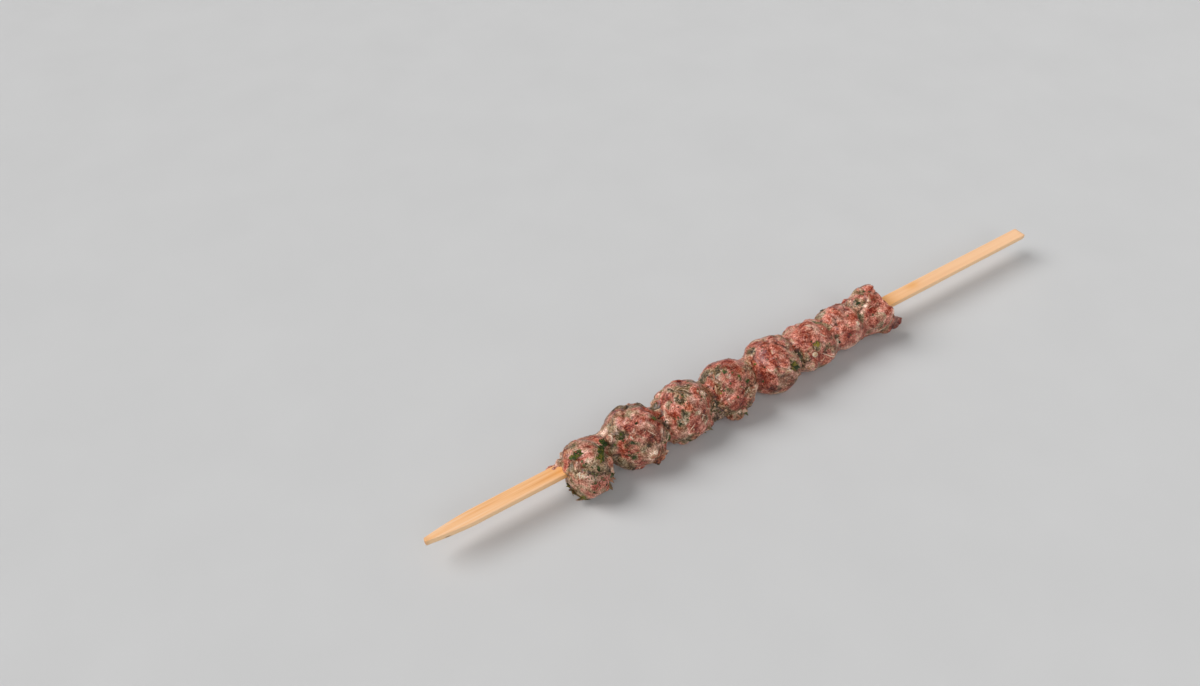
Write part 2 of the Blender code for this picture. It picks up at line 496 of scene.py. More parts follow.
# The relief, from coarse to fine: size of its lumps and how far it moves the skin.
UNEVEN_SIZE, UNEVEN = 8.0, 1.0
PAD_SIZE, PAD, PAD_SEAM = 6.0, 0.9, 2.4
BUMP_SIZE, BUMP = 4.4, 0.6
SMEAR_SIZE, SMEAR_COUNT, SMEAR = 9.0, 3.0, 0.45
CLEFT_SIZE, CLEFT = 7.5, 0.45
GRAIN_SIZE, GRAIN = 2.1, 0.05
CRUMB_SIZE, CRUMB = 1.1, 0.06
FIBRE_SIZE, FIBRE = 1.1, 0.09


def smears(points):
    """Layers smeared over each other: how high; how near a layer's lip, where a pale highlight is
    painted; and how near the foot below a lip, where shade is painted.
    """
    level = rough_noise(swirl(points, 7.0, 3.0, 161), SMEAR_SIZE, 165) * SMEAR_COUNT
    part = level - np.floor(level)
    strength = ramp(soft_noise(points, 10.0, 171), -0.35, 0.25)
    height = part * (1 - ramp(part, 0.93, 1.0)) * strength
    # Painted highlight on a layer's lip, just before it drops.
    rim = np.exp(-(((part - 0.88) / 0.06) ** 2)) * strength
    # Painted shade at the foot below the drop.
    under = np.exp(-((part / 0.05) ** 2)) * strength
    return height - height.mean(), rim, under


def press_by_hand(points, normals, skin):
    """The coarse shape: pads pressed together, layers smeared over them, folds and creases; also each
    point's pad, the layers' lips for a painted highlight, and the painted shade under lips and layers.
    """
    clefts = np.abs(rough_noise(swirl(points, 7.0, 2.5, 21), CLEFT_SIZE, 25))
    cleft = (1 - ramp(clefts, 0.0, 0.1)) * ramp(soft_noise(points, 9.0, 29), 0.0, 0.4)
    seam, pad = grains(swirl(points, 6.0, 2.4, 241), PAD_SIZE, 245)
    layer, rim, shade_under_layer = smears(points)
    rise = UNEVEN * rough_noise(points, UNEVEN_SIZE, 11)
    rise += PAD * (ramp(seam, 0.0, PAD_SEAM) - 0.6) * ramp(soft_noise(points, 12.0, 249), -0.5, 0.3)
    rise += BUMP * soft_noise(points, BUMP_SIZE, 15)
    rise += SMEAR * layer - CLEFT * cleft
    rise += press_dents(points, skin) - press_creases(points, normals, skin)
    moved, under = lift_folds(points, normals, skin)
    return moved + normals * rise[:, None], pad, rim, np.maximum(under, shade_under_layer)


def make_mince(material):
    """The mince: pressed lumps, then the ragged grain of the meat, and its colour."""
    mesh = pressed_lumps()
    points = hollow_end(read_points(mesh))
    write_points(mesh, points)
    edges = read(mesh.edges, "vertices", np.int32, 2)
    skin = Skin(mesh)
    points, pad, rim, under = press_by_hand(points, read_normals(mesh), skin)
    points = relax(points, edges, 2)
    write_points(mesh, points)
    normals = read_normals(mesh)
    patches = colour_patches(points, Skin(mesh))

    ragged = 0.4 + 0.9 * patches["olive"] + 0.3 * patches["pale"] - 0.5 * patches["red"]
    ragged = np.clip(ragged, *RAGGED_RANGE)
    swirled = swirl(swirl(points, 6.0, 2.2, 31), 2.4, 0.7, 35)
    border, tone = grains(swirled * (0.62, 1.0, 1.0), GRAIN_SIZE, 41)
    small_border, small_tone = grains(swirl(points, 1.6, 0.4, 51), CRUMB_SIZE, 55)
    rise = GRAIN * (ramp(border, 0.0, 0.8) - 0.6) + CRUMB * (ramp(small_border, 0.0, 0.4) - 0.6)
    rise += FIBRE * rough_noise(swirled * (0.5, 1, 1), FIBRE_SIZE, 61)
    points = points + normals * (rise * ragged)[:, None]
    points[:, 2] = np.maximum(points[:, 2], GROUND)
    write_points(mesh, points)

    normals = read_normals(mesh)
    # How hollow the skin is at three scales, for painted shade in its hollows.
    fine, middling, broad = (
        ((relax(points, edges, rounds) - points) * normals).sum(1) for rounds in (8, 24, 60)
    )
    along, herby, lighter = np.array(ALONG).T
    patches["herby"] = np.interp(points[:, 0] - TIP_MM[0], along, herby)
    patches["lighter"] = np.interp(points[:, 0] - TIP_MM[0], along, lighter)
    patches["tone"] = 0.6 * tone + 0.4 * small_tone
    patches["pad"] = pad
    # Painted highlight on the layers' lips and on small ridges; painted shade in fine hollows, in the
    # valleys between lumps, in deep hollows and under lips and layers.
    patches["rim"] = np.maximum(rim, ramp(-fine, 0.05, 0.25))
    patches["hollow"] = ramp(fine, 0.03, 0.26)
    patches["valley_painted_shade"] = ramp(middling, 0.05, 0.6)
    patches["deep"] = np.maximum(ramp(broad, 0.3, 1.6), under)
    for name, values in patches.items():
        write_value(mesh, name, values)
    mince = new_object("mince", mesh, material)
    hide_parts("meat")
    return mince


# How the mince changes along the stick: place, how herby it is, and how much lighter it looks.
ALONG = (
    (54, 0.6, 0.03), (60, 0.95, 0.03), (67, 0.9, 0.02), (76, 0.35, -0.02), (90, 0.2, -0.03),
    (102, 0.25, 0.05), (112, 0.25, 0.02), (122, 0.2, -0.03), (134, 0.1, -0.02), (146, -0.2, 0.055),
    (160, -0.1, 0.03), (172, -0.15, 0.045), (186, -0.25, 0.075), (200, -0.05, 0.02), (209.0, -0.1, 0.02),
    (211.5, -0.2, -0.12), (215, -0.2, 0.05),
)

# Patches of colour on the skin: name, then places with their half widths and strengths.
PATCHES = {
    "olive": (
        (59.2, 62, 2.4, 0.6), (60.6, 74, 3.0, 0.5), (75.9, 22, 2.2, 1.0), (76.8, 51, 3.0, 0.6),
        (77.8, 79, 2.2, 0.7), (93.5, 72, 2.2, 0.7), (95.0, 55, 2.0, 0.7), (103.7, 16, 2.8, 0.8),
        (102.0, 46, 2.0, 0.8), (100.5, 59, 2.6, 0.7), (113.5, 23, 2.6, 0.6), (102.7, 107, 4.0, 0.8),
        (120.9, -36, 3.0, 0.8), (123.3, 48, 2.8, 0.6), (117.1, 81, 3.0, 0.8), (118.0, 108, 3.5, 0.9),
        (143.3, -29, 3.0, 0.7), (159.5, 57, 2.8, 0.9), (168.4, 48, 2.4, 0.9), (176.7, -27, 3.2, 0.6),
        (181.0, 60, 1.0, 0.8), (193.8, 40, 2.4, 0.9), (198.0, -4, 3.0, 1.0), (204.2, -33, 2.6, 0.6),
        (201.4, 89, 3.0, 0.8), (162.0, 92, 3.0, 0.7), (160.0, 72, 2.4, 0.7), (165.0, 116, 2.4, 0.6),
        (127.0, 100, 3.0, 0.5),
    ),
    "red": (
        (100.0, -12, 4.5, 0.7), (105.0, -34, 3.5, 0.5), (68.6, -20, 4.5, 0.9), (62.0, -30, 4.5, 0.6),
        (83.2, 52, 4.0, 0.9), (99.1, 29, 3.0, 1.0), (105.1, 77, 4.5, 0.9), (125.4, 79, 4.0, 1.0),
        (145.3, 13, 6.5, 1.0), (150.0, 30, 4.5, 0.9), (151.0, 4, 5.0, 0.9), (166.5, 11, 5.5, 1.0),
        (170.6, 90, 4.0, 1.0), (165.1, 91, 1.8, 1.0), (185.3, -17, 6.0, 1.0), (188.0, 24, 4.0, 0.7),
        (185.2, 86, 4.5, 1.0), (206.6, -27, 3.6, 1.0), (199.2, 39, 2.4, 0.9), (205.9, 56, 2.6, 0.9),
        (199.6, 68, 1.2, 1.0), (213.4, 106, 5.0, 1.4), (159.7, 36, 3.0, 0.9), (59.0, 105, 4.0, 0.6),
        (68.9, 65, 2.4, 0.7), (104.4, 37, 2.4, 0.6), (192.0, 80, 4.0, 0.6), (120.0, -10, 4.0, 0.5),
    ),
    "rust": (
        (141.5, -4, 4.0, 0.7), (56.0, -16, 3.0, 0.8), (66.0, -46, 4.0, 0.9), (69.0, -22, 3.0, 0.9),
        (67.3, -5, 1.6, 1.0), (59.0, 106, 3.6, 0.9), (64.6, 112, 3.0, 0.7), (68.9, 65, 2.4, 0.9),
        (54.1, 59, 1.6, 1.0), (88.8, 112, 3.0, 1.0), (80.0, 62, 2.2, 0.6), (87.0, 96, 2.4, 0.8),
        (104.4, 37, 2.0, 1.0), (99.0, 80, 2.6, 0.7), (130.8, 24, 2.4, 0.8), (134.0, 40, 3.0, 0.7),
        (131.0, 84, 3.0, 0.6), (159.7, 36, 2.6, 1.0), (170.6, 96, 2.6, 0.9), (174.0, 10, 2.6, 0.6),
        (192.0, 20, 2.0, 0.8), (186.4, 40, 2.2, 0.5), (150.0, 86, 5.0, 0.9), (140.0, 96, 3.0, 0.5),
        (104.0, 100, 2.6, 0.6), (56.0, -140, 5.0, 0.6), (110.0, -130, 6.0, 0.5), (160.0, -120, 6.0, 0.5),
        (84.0, -100, 5.0, 0.5),
    ),
    # Dark brown: partly dark meat, partly painted shade in dents and slits and on the lumps' lower sides.
    "brown_and_painted_shade": (
        (149.0, 78, 4.6, 1.0), (151.6, 97, 4.5, 1.0), (145.0, 104, 4.0, 0.8), (211.6, 106, 3.0, 0.9),
        (118.0, 102, 4.0, 0.7), (126.4, 96, 3.0, 0.6), (176.0, 99, 2.2, 0.6), (106.0, 108, 4.0, 0.5),
        (109.2, -26, 2.4, 0.7), (109.0, 8, 2.0, 0.6), (86.6, 56, 1.2, 0.6), (200.0, 118, 5.0, 0.6),
        (182.6, 5, 0.9, 1.5), (182.4, 12, 0.9, 1.6), (182.2, 19, 0.9, 1.5), (180.7, 104, 2.0, 0.9),
    ),
    "lean": (
        (213.4, 106, 5.0, 1.6), (125.4, 79, 2.6, 0.8), (145.3, 13, 5.0, 0.5), (199.6, 68, 1.2, 1.0),
        (87.2, 56, 1.4, 0.8), (105.0, 77, 3.0, 0.5), (170.6, 90, 2.2, 0.7), (165.1, 91, 1.6, 0.8),
        (185.2, 88, 3.0, 0.7), (206.6, -27, 2.6, 0.7), (68.9, 65, 1.8, 0.5), (83.2, 50, 2.4, 0.5),
        (166.5, 11, 3.5, 0.5), (185.3, -17, 4.0, 0.5), (99.1, 29, 2.2, 0.5), (205.9, 56, 2.2, 0.6),
        (68.6, -30, 3.0, 0.5),
    ),
    "fat": (
        (84.8, 81, 2.6, 1.2), (91.7, 57, 1.1, 0.9), (90.4, 68, 1.1, 1.0), (88.6, 76, 1.2, 0.9),
        (96.4, 47, 1.0, 0.9), (61.9, 16, 1.6, 0.35), (56.7, 61, 1.1, 0.7), (126.4, 106, 1.0, 0.8),
        (134.6, 69, 1.8, 0.8), (113.5, 23, 1.4, 0.6), (190.4, 47, 1.0, 0.9), (150.0, 61, 1.5, 0.6),
        (170.6, -9, 0.9, 0.8), (209.1, 60, 1.6, 0.5), (200.8, 6, 0.9, 0.7), (198.6, 13, 0.9, 0.7),
        (73.0, -26, 2.0, 0.6), (107.6, 55, 0.9, 0.8), (100.6, 60, 1.4, 0.5), (180.2, 81, 1.2, 0.8),
        (68.0, 84, 1.2, 0.7), (157.4, 45, 1.0, 0.6),
    ),
    "pale": (
        (54.0, -80, 4.0, 1.0), (61.9, 16, 2.4, 0.8), (72.9, -30, 3.0, 0.8), (73.8, 15, 2.0, 1.0),
        (84.6, 81, 3.0, 1.8), (91.7, 57, 1.8, 1.2), (90.4, 68, 1.6, 1.2), (88.3, 75, 1.8, 1.0),
        (97.2, 16, 1.8, 0.8), (96.4, 47, 1.4, 0.9), (107.4, 29, 2.0, 0.9), (99.6, 87, 3.0, 0.8),
        (103.0, -27, 1.6, 0.8), (113.5, 23, 1.8, 0.6), (135.0, 70, 2.4, 0.8), (125.5, 107, 1.6, 0.6),
        (170.6, -9, 1.4, 0.8), (190.4, 47, 1.6, 0.8), (199.5, 99, 3.0, 0.6), (209.1, 60, 2.0, 0.8),
        (200.6, 8, 1.5, 0.9), (198.6, 15, 1.4, 0.9), (196.2, 22, 1.4, 0.8), (180.2, 81, 1.6, 0.7),
        (163.0, 96, 3.0, 0.9), (186.6, 112, 4.0, 0.8), (76.4, 87, 2.4, 0.6), (187.0, 20, 2.0, 0.5),
        (62.4, -4, 3.0, 0.7), (57.6, 66, 2.6, 0.7),
    ),
}

# How much of the skin away from the placed patches is in each colour, by its own noise.
PATCH_NOISE = {
    "olive": (8.0, 0.24, 101),
    "red": (10.0, 0.08, 111),
    "rust": (8.0, 0.3, 131),
    "brown_and_painted_shade": (8.0, 0.4, 151),
    "lean": (6.0, 0.45, 161),
    "fat": (3.0, 0.5, 171),
    "pale": (7.0, 0.24, 121),
}


def colour_patches(points, skin):
    """How far each point is olive with herbs, red with lean, rust, pale with fat, and dark brown with
    dark meat and painted shade.
    """
    edge = rough_noise(swirl(points, 4.0, 1.2, 91), 3.0, 95)
    found = {}
    for name, spots in PATCHES.items():
        size, level, salt = PATCH_NOISE[name]
        amount = 0.55 * ramp(rough_noise(points, size, salt), level, level + 0.4)
        for along, angle, half_width, strength in spots:
            nearness = skin.nearness(points, along, angle, half_width)
            amount = np.maximum(amount, strength * nearness)
        found[name] = ramp(amount + 0.3 * edge, 0.2, 0.75)
    return found


# ------------------------------------------------------------------------ materials

SCREEN_GAMMA = 2.2
DARKEST_SEEN = (0.1, 0.06, 0.04)


class Nodes:
    """A material's nodes, added and linked by short calls."""

    def __init__(self, name):
        self.material = bpy.data.materials.new(name)
        self.material.use_nodes = True
        self.tree = self.material.node_tree
        self.shader = self.tree.nodes["Principled BSDF"]
        self.place = self.node("ShaderNodeTexCoord", {}).outputs["Object"]

    def feed(self, node, inputs):
        """Set a node's inputs, each a value or a socket."""
        for name, value in inputs.items():
            if isinstance(value, bpy.types.NodeSocket):
                self.tree.links.new(value, node.inputs[name])
            else:
                node.inputs[name].default_value = value

    def node(self, kind, inputs, **settings):
        """A new node with these inputs and settings."""
        node = self.tree.nodes.new(kind)
        for name, value in settings.items():
            setattr(node, name, value)
        self.feed(node, inputs)
        return node

    def add(self, kind, inputs, **settings):
        """The first output of a new node."""
        return self.node(kind, inputs, **settings).outputs[0]

    def value(self, name):
        """A number that the mesh keeps for each of its points."""
        return self.node("ShaderNodeAttribute", {}, attribute_name=name).outputs["Fac"]

    def noise(self, size, detail=2.0, distortion=0.0, stretch=(1, 1, 1), salt=0.0):
        """Noise with lumps of about this many millimetres."""
        moved = self.add(
            "ShaderNodeMapping",
            {"Vector": self.place, "Scale": stretch, "Location": (salt, salt, salt)},
        )
        inputs = {"Vector": moved, "Scale": 1 / (size * MM), "Detail": detail, "Distortion": distortion}
        return self.add("ShaderNodeTexNoise", inputs)

    def sum(self, *terms):
        """The sum of sockets, each times its own number, as (socket, number) pairs."""
        total = 0.0
        for socket, share in terms:
            inputs = {0: socket, 1: share, 2: total}
            total = self.add("ShaderNodeMath", inputs, operation="MULTIPLY_ADD")
        return total

    def times(self, first, second):
        """One number times another."""
        return self.add("ShaderNodeMath", {0: first, 1: second}, operation="MULTIPLY")

    def span(self, socket, low, high, bottom, top, kind="LINEAR"):
        """A number between low and high moved in proportion to between bottom and top."""
        inputs = {"Value": socket, "From Min": low, "From Max": high, "To Min": bottom, "To Max": top}
        return self.add("ShaderNodeMapRange", inputs, interpolation_type=kind)

    def rise(self, socket, low, high, top=1.0):
        """0 below low, top above high and a smooth rise between."""
        return self.span(socket, low, high, 0.0, top, "SMOOTHSTEP")

    def lightened(self, colour, change):
        """A colour made lighter or darker by as much in its red, green and blue as seen."""
        seen = self.add("ShaderNodeGamma", {"Color": colour, "Gamma": 1 / SCREEN_GAMMA})
        moved = self.add("ShaderNodeVectorMath", {0: seen, 1: change}, operation="ADD")
        kept = self.add("ShaderNodeVectorMath", {0: moved, 1: DARKEST_SEEN}, operation="MAXIMUM")
        return self.add("ShaderNodeGamma", {"Color": kept, "Gamma": SCREEN_GAMMA})

    def colours(self, socket, *stops):
        """A run of colours, each stop a place from 0 to 1 and a colour."""
        node = self.node("ShaderNodeValToRGB", {"Fac": socket})
        band = node.color_ramp
        while len(band.elements) < len(stops):
            band.elements.new(0.5)
        for element, (at, colour) in zip(band.elements, stops):
            element.position = at
            element.color = colour
        return node.outputs["Color"]

    def mix(self, share, first, second):
        """Colour second over colour first by a share."""
        inputs = {"Factor": share, 6: first, 7: second}
        return self.node("ShaderNodeMix", inputs, data_type="RGBA").outputs[2]

    def overlaid(self, colour, name, share, stain):
        """A colour with another laid over it, as strong at each point as the mesh keeps, times a share.
        Some calls lay a real stain, others painted light and shade.
        """
        return self.mix(self.times(self.value(name), share), colour, stain)

    def bump(self, height, distance, strength):
        """Fine relief on the shader's normal."""
        made = self.add("ShaderNodeBump", {"Height": height, "Distance": distance, "Strength": strength})
        self.tree.links.new(made, self.shader.inputs["Normal"])

    def finish(self, **inputs):
        """Set the shader's inputs, each a value or a socket."""
        self.feed(self.shader, {name.replace("_", " "): value for name, value in inputs.items()})
        return self.material


def tint(red, green, blue):
    """A colour given as it looks on a screen, from 0 to 255."""
    shares = [part / 255 for part in (red, green, blue)]
    return (*[s / 12.92 if s < 0.04045 else ((s + 0.055) / 1.055) ** 2.4 for s in shares], 1.0)


# From where herbs are thickest to the leanest meat.
DARK_OLIVE = tint(84, 68, 38)
HERB_OLIVE = tint(132, 108, 74)
MINCE_TAN = tint(162, 112, 85)
MINCE_PINK = tint(178, 102, 82)
LEAN_RED = tint(172, 86, 64)
DEEP_RED = tint(152, 60, 34)
PALE_PINK = tint(202, 151, 130)
# Pale cream of fat, also used for the painted highlight on lips and ridges.
FAT_AND_HIGHLIGHT_CREAM = tint(220, 184, 158)
BRIGHT_FAT = tint(244, 208, 182)
RUST = tint(182, 92, 56)
# Dark meat, also laid as painted shade on lower sides and in dents.
DARK_MEAT_AND_PAINTED_SHADE = tint(92, 56, 40)
# The colour of the painted shade in gaps and hollows.
PAINTED_GAP_SHADE = tint(56, 34, 20)


def mince_material():
    """Raw mince: lean and fatty meat and patches coloured by herbs, each finely mottled, with painted
    shade in its hollows and creases and a painted highlight on its lips and ridges.
    """
    n = Nodes("mince")
    hue = n.sum(
        (n.noise(5.0, 1, 0.9), 1.2),
        (n.noise(1.9, 1, 0.7, salt=17), 0.1),
        (n.value("pad"), 0.16),
        (n.value("red"), 0.36),
        (n.value("olive"), -0.5),
        (n.value("herby"), -0.22),
    )
    meat = n.colours(
        n.rise(hue, 0.25, 1.22),
        (0.0, DARK_OLIVE),
        (0.2, HERB_OLIVE),
        (0.42, MINCE_TAN),
        (0.6, MINCE_PINK),
        (0.8, LEAN_RED),
        (1.0, DEEP_RED),
    )
    fatty = n.sum((n.noise(3.4, 1, 1.0, salt=5), 1.0), (n.noise(1.0, 1, 0.6, salt=7), 0.1))
    meat = n.mix(n.rise(fatty, 0.5, 0.95, 0.33), meat, PALE_PINK)
    meat = n.overlaid(meat, "rust", 0.6, RUST)
    meat = n.mix(n.times(n.value("pale"), n.rise(fatty, 0.15, 0.6, 0.9)), meat, PALE_PINK)
    meat = n.overlaid(meat, "lean", 0.72, DEEP_RED)
    # Dark brown of dark meat, with painted shade in dents and slits and on the lower sides.
    meat = n.overlaid(meat, "brown_and_painted_shade", 0.55, DARK_MEAT_AND_PAINTED_SHADE)
    streak = n.rise(n.noise(2.2, 2, 2.5, (0.4, 1, 1), salt=9), 0.6, 0.72)
    meat = n.mix(n.times(streak, 0.16), meat, FAT_AND_HIGHLIGHT_CREAM)
    # Painted highlight: pale cream on the smeared layers' lips and on small ridges.
    meat = n.overlaid(meat, "rim", 0.16, FAT_AND_HIGHLIGHT_CREAM)
    meat = n.overlaid(meat, "fat", 0.85, BRIGHT_FAT)
    blot = n.rise(n.noise(1.7, 1, 1.2, (0.7, 1, 1), salt=31), 0.58, 0.72)
    calm = n.sum((n.value("red"), -0.7), (n.value("pale"), -0.4))
    light = n.sum(
        (n.times(blot, n.span(calm, -1.0, 0.0, 0.0, 1.0)), -0.22),
        (n.noise(5.0, 1, 0.5, salt=29), 0.5),
        (n.noise(2.6, 1, 0.5, salt=3), 0.55),
        (n.noise(1.2, 1, 0.5, salt=13), 0.35),
        (n.noise(0.5, 1, salt=23), 0.85),
        (n.value("tone"), 0.06),
        (n.value("lighter"), 1.0),
        (n.value("fat"), 0.1),
    )
    meat = n.lightened(meat, n.span(light, 0.0, 2.05, -1.165, 0.875))
    # Painted shade: darker in fine hollows, in the valleys between lumps, in deep hollows and under lips
    # and layers.
    dark = n.sum((n.value("hollow"), 0.35), (n.value("valley_painted_shade"), 0.55), (n.value("deep"), 0.5))
    meat = n.mix(n.rise(dark, 0.05, 1.0, 0.85), meat, PAINTED_GAP_SHADE)
    n.bump(n.sum((n.noise(0.6, 2), 1.0), (n.noise(0.25, 1), 0.4)), 0.15 * MM, 0.5)
    gloss = n.sum((n.noise(3.0, 2, salt=9), 0.3), (n.noise(0.7, 1, salt=11), 0.45))
    return n.finish(
        Base_Color=meat,
        # The hollows with painted shade are also a little rougher.
        Roughness=n.sum((gloss, 1.0), (n.value("hollow"), 0.15)),
        Specular_IOR_Level=0.5,
        Subsurface_Weight=0.1,
        Subsurface_Radius=(1.0, 0.35, 0.2),
        Subsurface_Scale=1.2 * MM,
    )


# ------------------------------------------------- herbs, onion, fat, shreds and specks

# About how many degrees round the mince a millimetre is.
DEGREES = 5.5
MINCE_SPAN = (56.0, 205.0)
CLEAR_OF_GROUND = 1.0

# Parsley: the clump's middle, its half size along and across, how many leaves it has, their
# size, and how light they are from 0 to 1.
PARSLEY = (
    (58.4, 16, 2.1, 1.0, 34, 1.5, 0.4), (70.2, 17, 1.0, 1.6, 20, 1.7, 0.2),
    (68.0, 28, 1.1, 1.5, 20, 1.7, 0.4), (66.6, 38, 1.2, 1.4, 18, 1.6, 0.5),
    (64.8, 46, 1.2, 1.1, 12, 1.5, 0.65), (62.4, 58, 0.6, 0.9, 3, 1.4, 0.1),
    (53.9, 150, 0.8, 0.6, 3, 1.9, 0.1), (54.9, 147, 0.6, 0.9, 6, 2.4, 0.75),
    (56.8, 124, 1.2, 1.2, 6, 2.2, 0.45), (67.8, 95, 1.3, 1.0, 7, 2.0, 0.3),
    (76.2, 27, 0.7, 1.0, 4, 1.4, 0.2), (83.5, 20, 0.5, 0.4, 1, 1.8, 0.1),
    (77.6, 78, 0.8, 0.6, 3, 1.2, 0.3), (93.6, 72, 0.9, 1.5, 5, 1.5, 0.2),
    (90.4, 28, 0.4, 0.4, 1, 2.2, 0.5), (99.6, 62, 0.6, 0.6, 2, 1.4, 0.2),
    (128.9, 30, 0.3, 0.3, 1, 2.0, 0.15), (137.6, 51, 0.4, 0.4, 2, 1.9, 0.45),
    (132.4, 46, 0.2, 0.3, 1, 1.9, 0.15), (153.2, 60, 0.5, 0.4, 5, 5.0, 0.5),
    (168.2, 47, 1.2, 0.7, 6, 1.9, 1.0), (176.8, -26, 0.5, 0.6, 2, 1.4, 0.5),
    (181.4, 84, 0.4, 0.4, 2, 1.4, 0.1), (197.4, -6, 0.7, 0.6, 3, 1.3, 0.0),
    (193.8, 38, 0.6, 0.5, 2, 1.2, 0.4), (204.4, -34, 0.5, 0.5, 2, 1.2, 0.1),
)
PARSLEY_ANYWHERE = 30
PARSLEY_SHADES = 0.4

# Leaves tilt by up to so many degrees in a clump, and by less where there are only a few.
FEW_LEAVES = 4
CLUMP_TILT = 30
FLAT_TILT = 6
LEAF_RAISED = 0.08

FLECKS_ANYWHERE = 190
FLECKS_PER_PATCH = 3

# Where the first lump's flecks are thickest: the middle, and the reach along and round.
FLECK_CLUMP = (62.5, 70, 5.0, 8.0)
FLECK_CLUMP_COUNT = 30
FLECK_THICKNESS = 0.24

# Onion and fat: place, size along, across and out, turn in degrees, and how white it is.
ONION = (
    (54.1, 58, (1.2, 1.6, 0.9), 0, 0.3), (61.9, 15, (1.3, 1.0, 0.6), 30, 0.4),
    (79.6, 40, (0.8, 1.7, 0.6), 10, 1.0), (73.0, 4, (2.2, 1.4, 0.8), 50, 0.3),
    (84.0, 84, (2.6, 2.2, 0.9), 0, 0.35), (100.5, 59, (1.5, 2.2, 0.7), 30, 0.7),
    (107.6, 55, (0.7, 1.2, 0.5), 40, 0.9), (103.7, 14, (2.0, 1.6, 0.7), 0, 0.3),
    (119.7, 30, (0.9, 3.0, 0.8), -20, 0.6), (117.0, 49, (2.1, 1.9, 0.8), 0, 0.6),
    (121.4, 0, (0.9, 3.2, 0.5), -40, 0.2), (124.6, 0, (0.7, 1.1, 0.5), -10, 0.6),
    (116.8, 72, (2.0, 1.4, 0.8), 60, 0.5), (119.6, 84, (1.4, 1.4, 0.7), 0, 0.4),
    (121.0, 96, (1.6, 1.2, 0.7), 40, 0.6), (136.0, -10, (1.1, 1.1, 0.7), 0, 0.8),
    (134.6, 36, (0.9, 1.4, 0.6), 30, 0.7), (148.0, 14, (1.3, 2.0, 0.5), -40, 0.5),
    (148.7, 62, (2.6, 1.6, 0.7), 0, 0.5), (161.6, -10, (1.7, 1.2, 0.6), 20, 0.6),
    (164.8, 51, (2.0, 1.8, 0.6), 0, 0.4), (165.9, 67, (2.2, 2.0, 0.9), 0, 0.8),
    (163.0, 76, (1.2, 1.0, 0.6), 0, 0.7), (162.6, 98, (1.8, 1.6, 0.8), 30, 0.5),
    (180.0, 79, (1.4, 1.6, 0.8), 20, 0.6), (178.0, -30, (1.8, 1.2, 0.6), 30, 0.5),
    (190.4, 46, (1.7, 1.2, 0.7), 10, 1.0), (194.6, 44, (0.9, 0.8, 0.5), 0, 0.6),
    (201.6, 4, (0.9, 3.4, 0.5), -30, 0.4),
)

# Clumps of small bits: the middle, the reach along and round, how many, size and whiteness.
ONION_CLUMPS = (
    (56.7, 61, 1.2, 1.3, 20, 0.8, 0.7), (62.6, 84, 2.5, 2.5, 9, 0.9, 0.4),
    (103.7, 15, 2.4, 2.0, 10, 1.1, 0.3), (96.0, 62, 1.4, 3.0, 9, 1.0, 0.4),
    (100.5, 60, 1.2, 1.5, 7, 0.9, 0.7), (119.0, 82, 2.6, 2.6, 16, 1.3, 0.4),
    (114.0, 24, 2.0, 2.0, 8, 1.0, 0.4), (160.5, 60, 1.6, 2.4, 9, 0.9, 0.5),
    (162.5, 96, 2.4, 2.0, 12, 1.1, 0.4), (180.0, 80, 1.2, 1.6, 14, 1.0, 1.0),
    (191.0, 60, 2.6, 3.0, 9, 0.9, 0.6), (203.0, 60, 3.5, 4.0, 12, 0.8, 0.5),
    (131.0, 60, 3.0, 2.0, 8, 0.9, 0.4),
)
ONION_ANYWHERE = 150

# Strands of fat and sinew: width, and the line's places.
STRANDS = (
    (0.5, ((143.2, 42), (143.0, 48), (143.8, 53))),
    (0.45, ((169.2, -16), (170.6, -9), (171.2, -2))),
    (0.4, ((170.8, 20), (172.4, 34), (174.6, 46))),
    (0.55, ((168.2, 68), (173.0, 88), (177.0, 100), (180.0, 108))),
    (0.7, ((73.6, -4), (74.4, 12), (73.2, 26))),
    (0.6, ((97.6, 8), (96.8, 24), (96.2, 38))),
    (0.7, ((95.0, 60), (93.2, 72), (91.6, 84))),
    (0.5, ((131.6, 62), (134.4, 67), (137.6, 72))),
    (0.5, ((206.6, 104), (203.8, 112), (201.4, 118))),
    (0.35, ((181.0, 4), (180.8, 14), (181.0, 26))),
    (0.4, ((104.6, 70), (103.0, 76), (101.6, 84))),
    (0.45, ((112.0, 60), (113.6, 66), (114.6, 74))),
    (0.5, ((122.4, 108), (125.0, 106), (127.8, 104))),
)
STRANDS_ANYWHERE = 130
STRAND_SHADE = 0.8

# Where along a random strand its places are, from -1 at one end to 1 at the other.
STRAND_STEPS = (-1, -0.4, 0.3, 1)

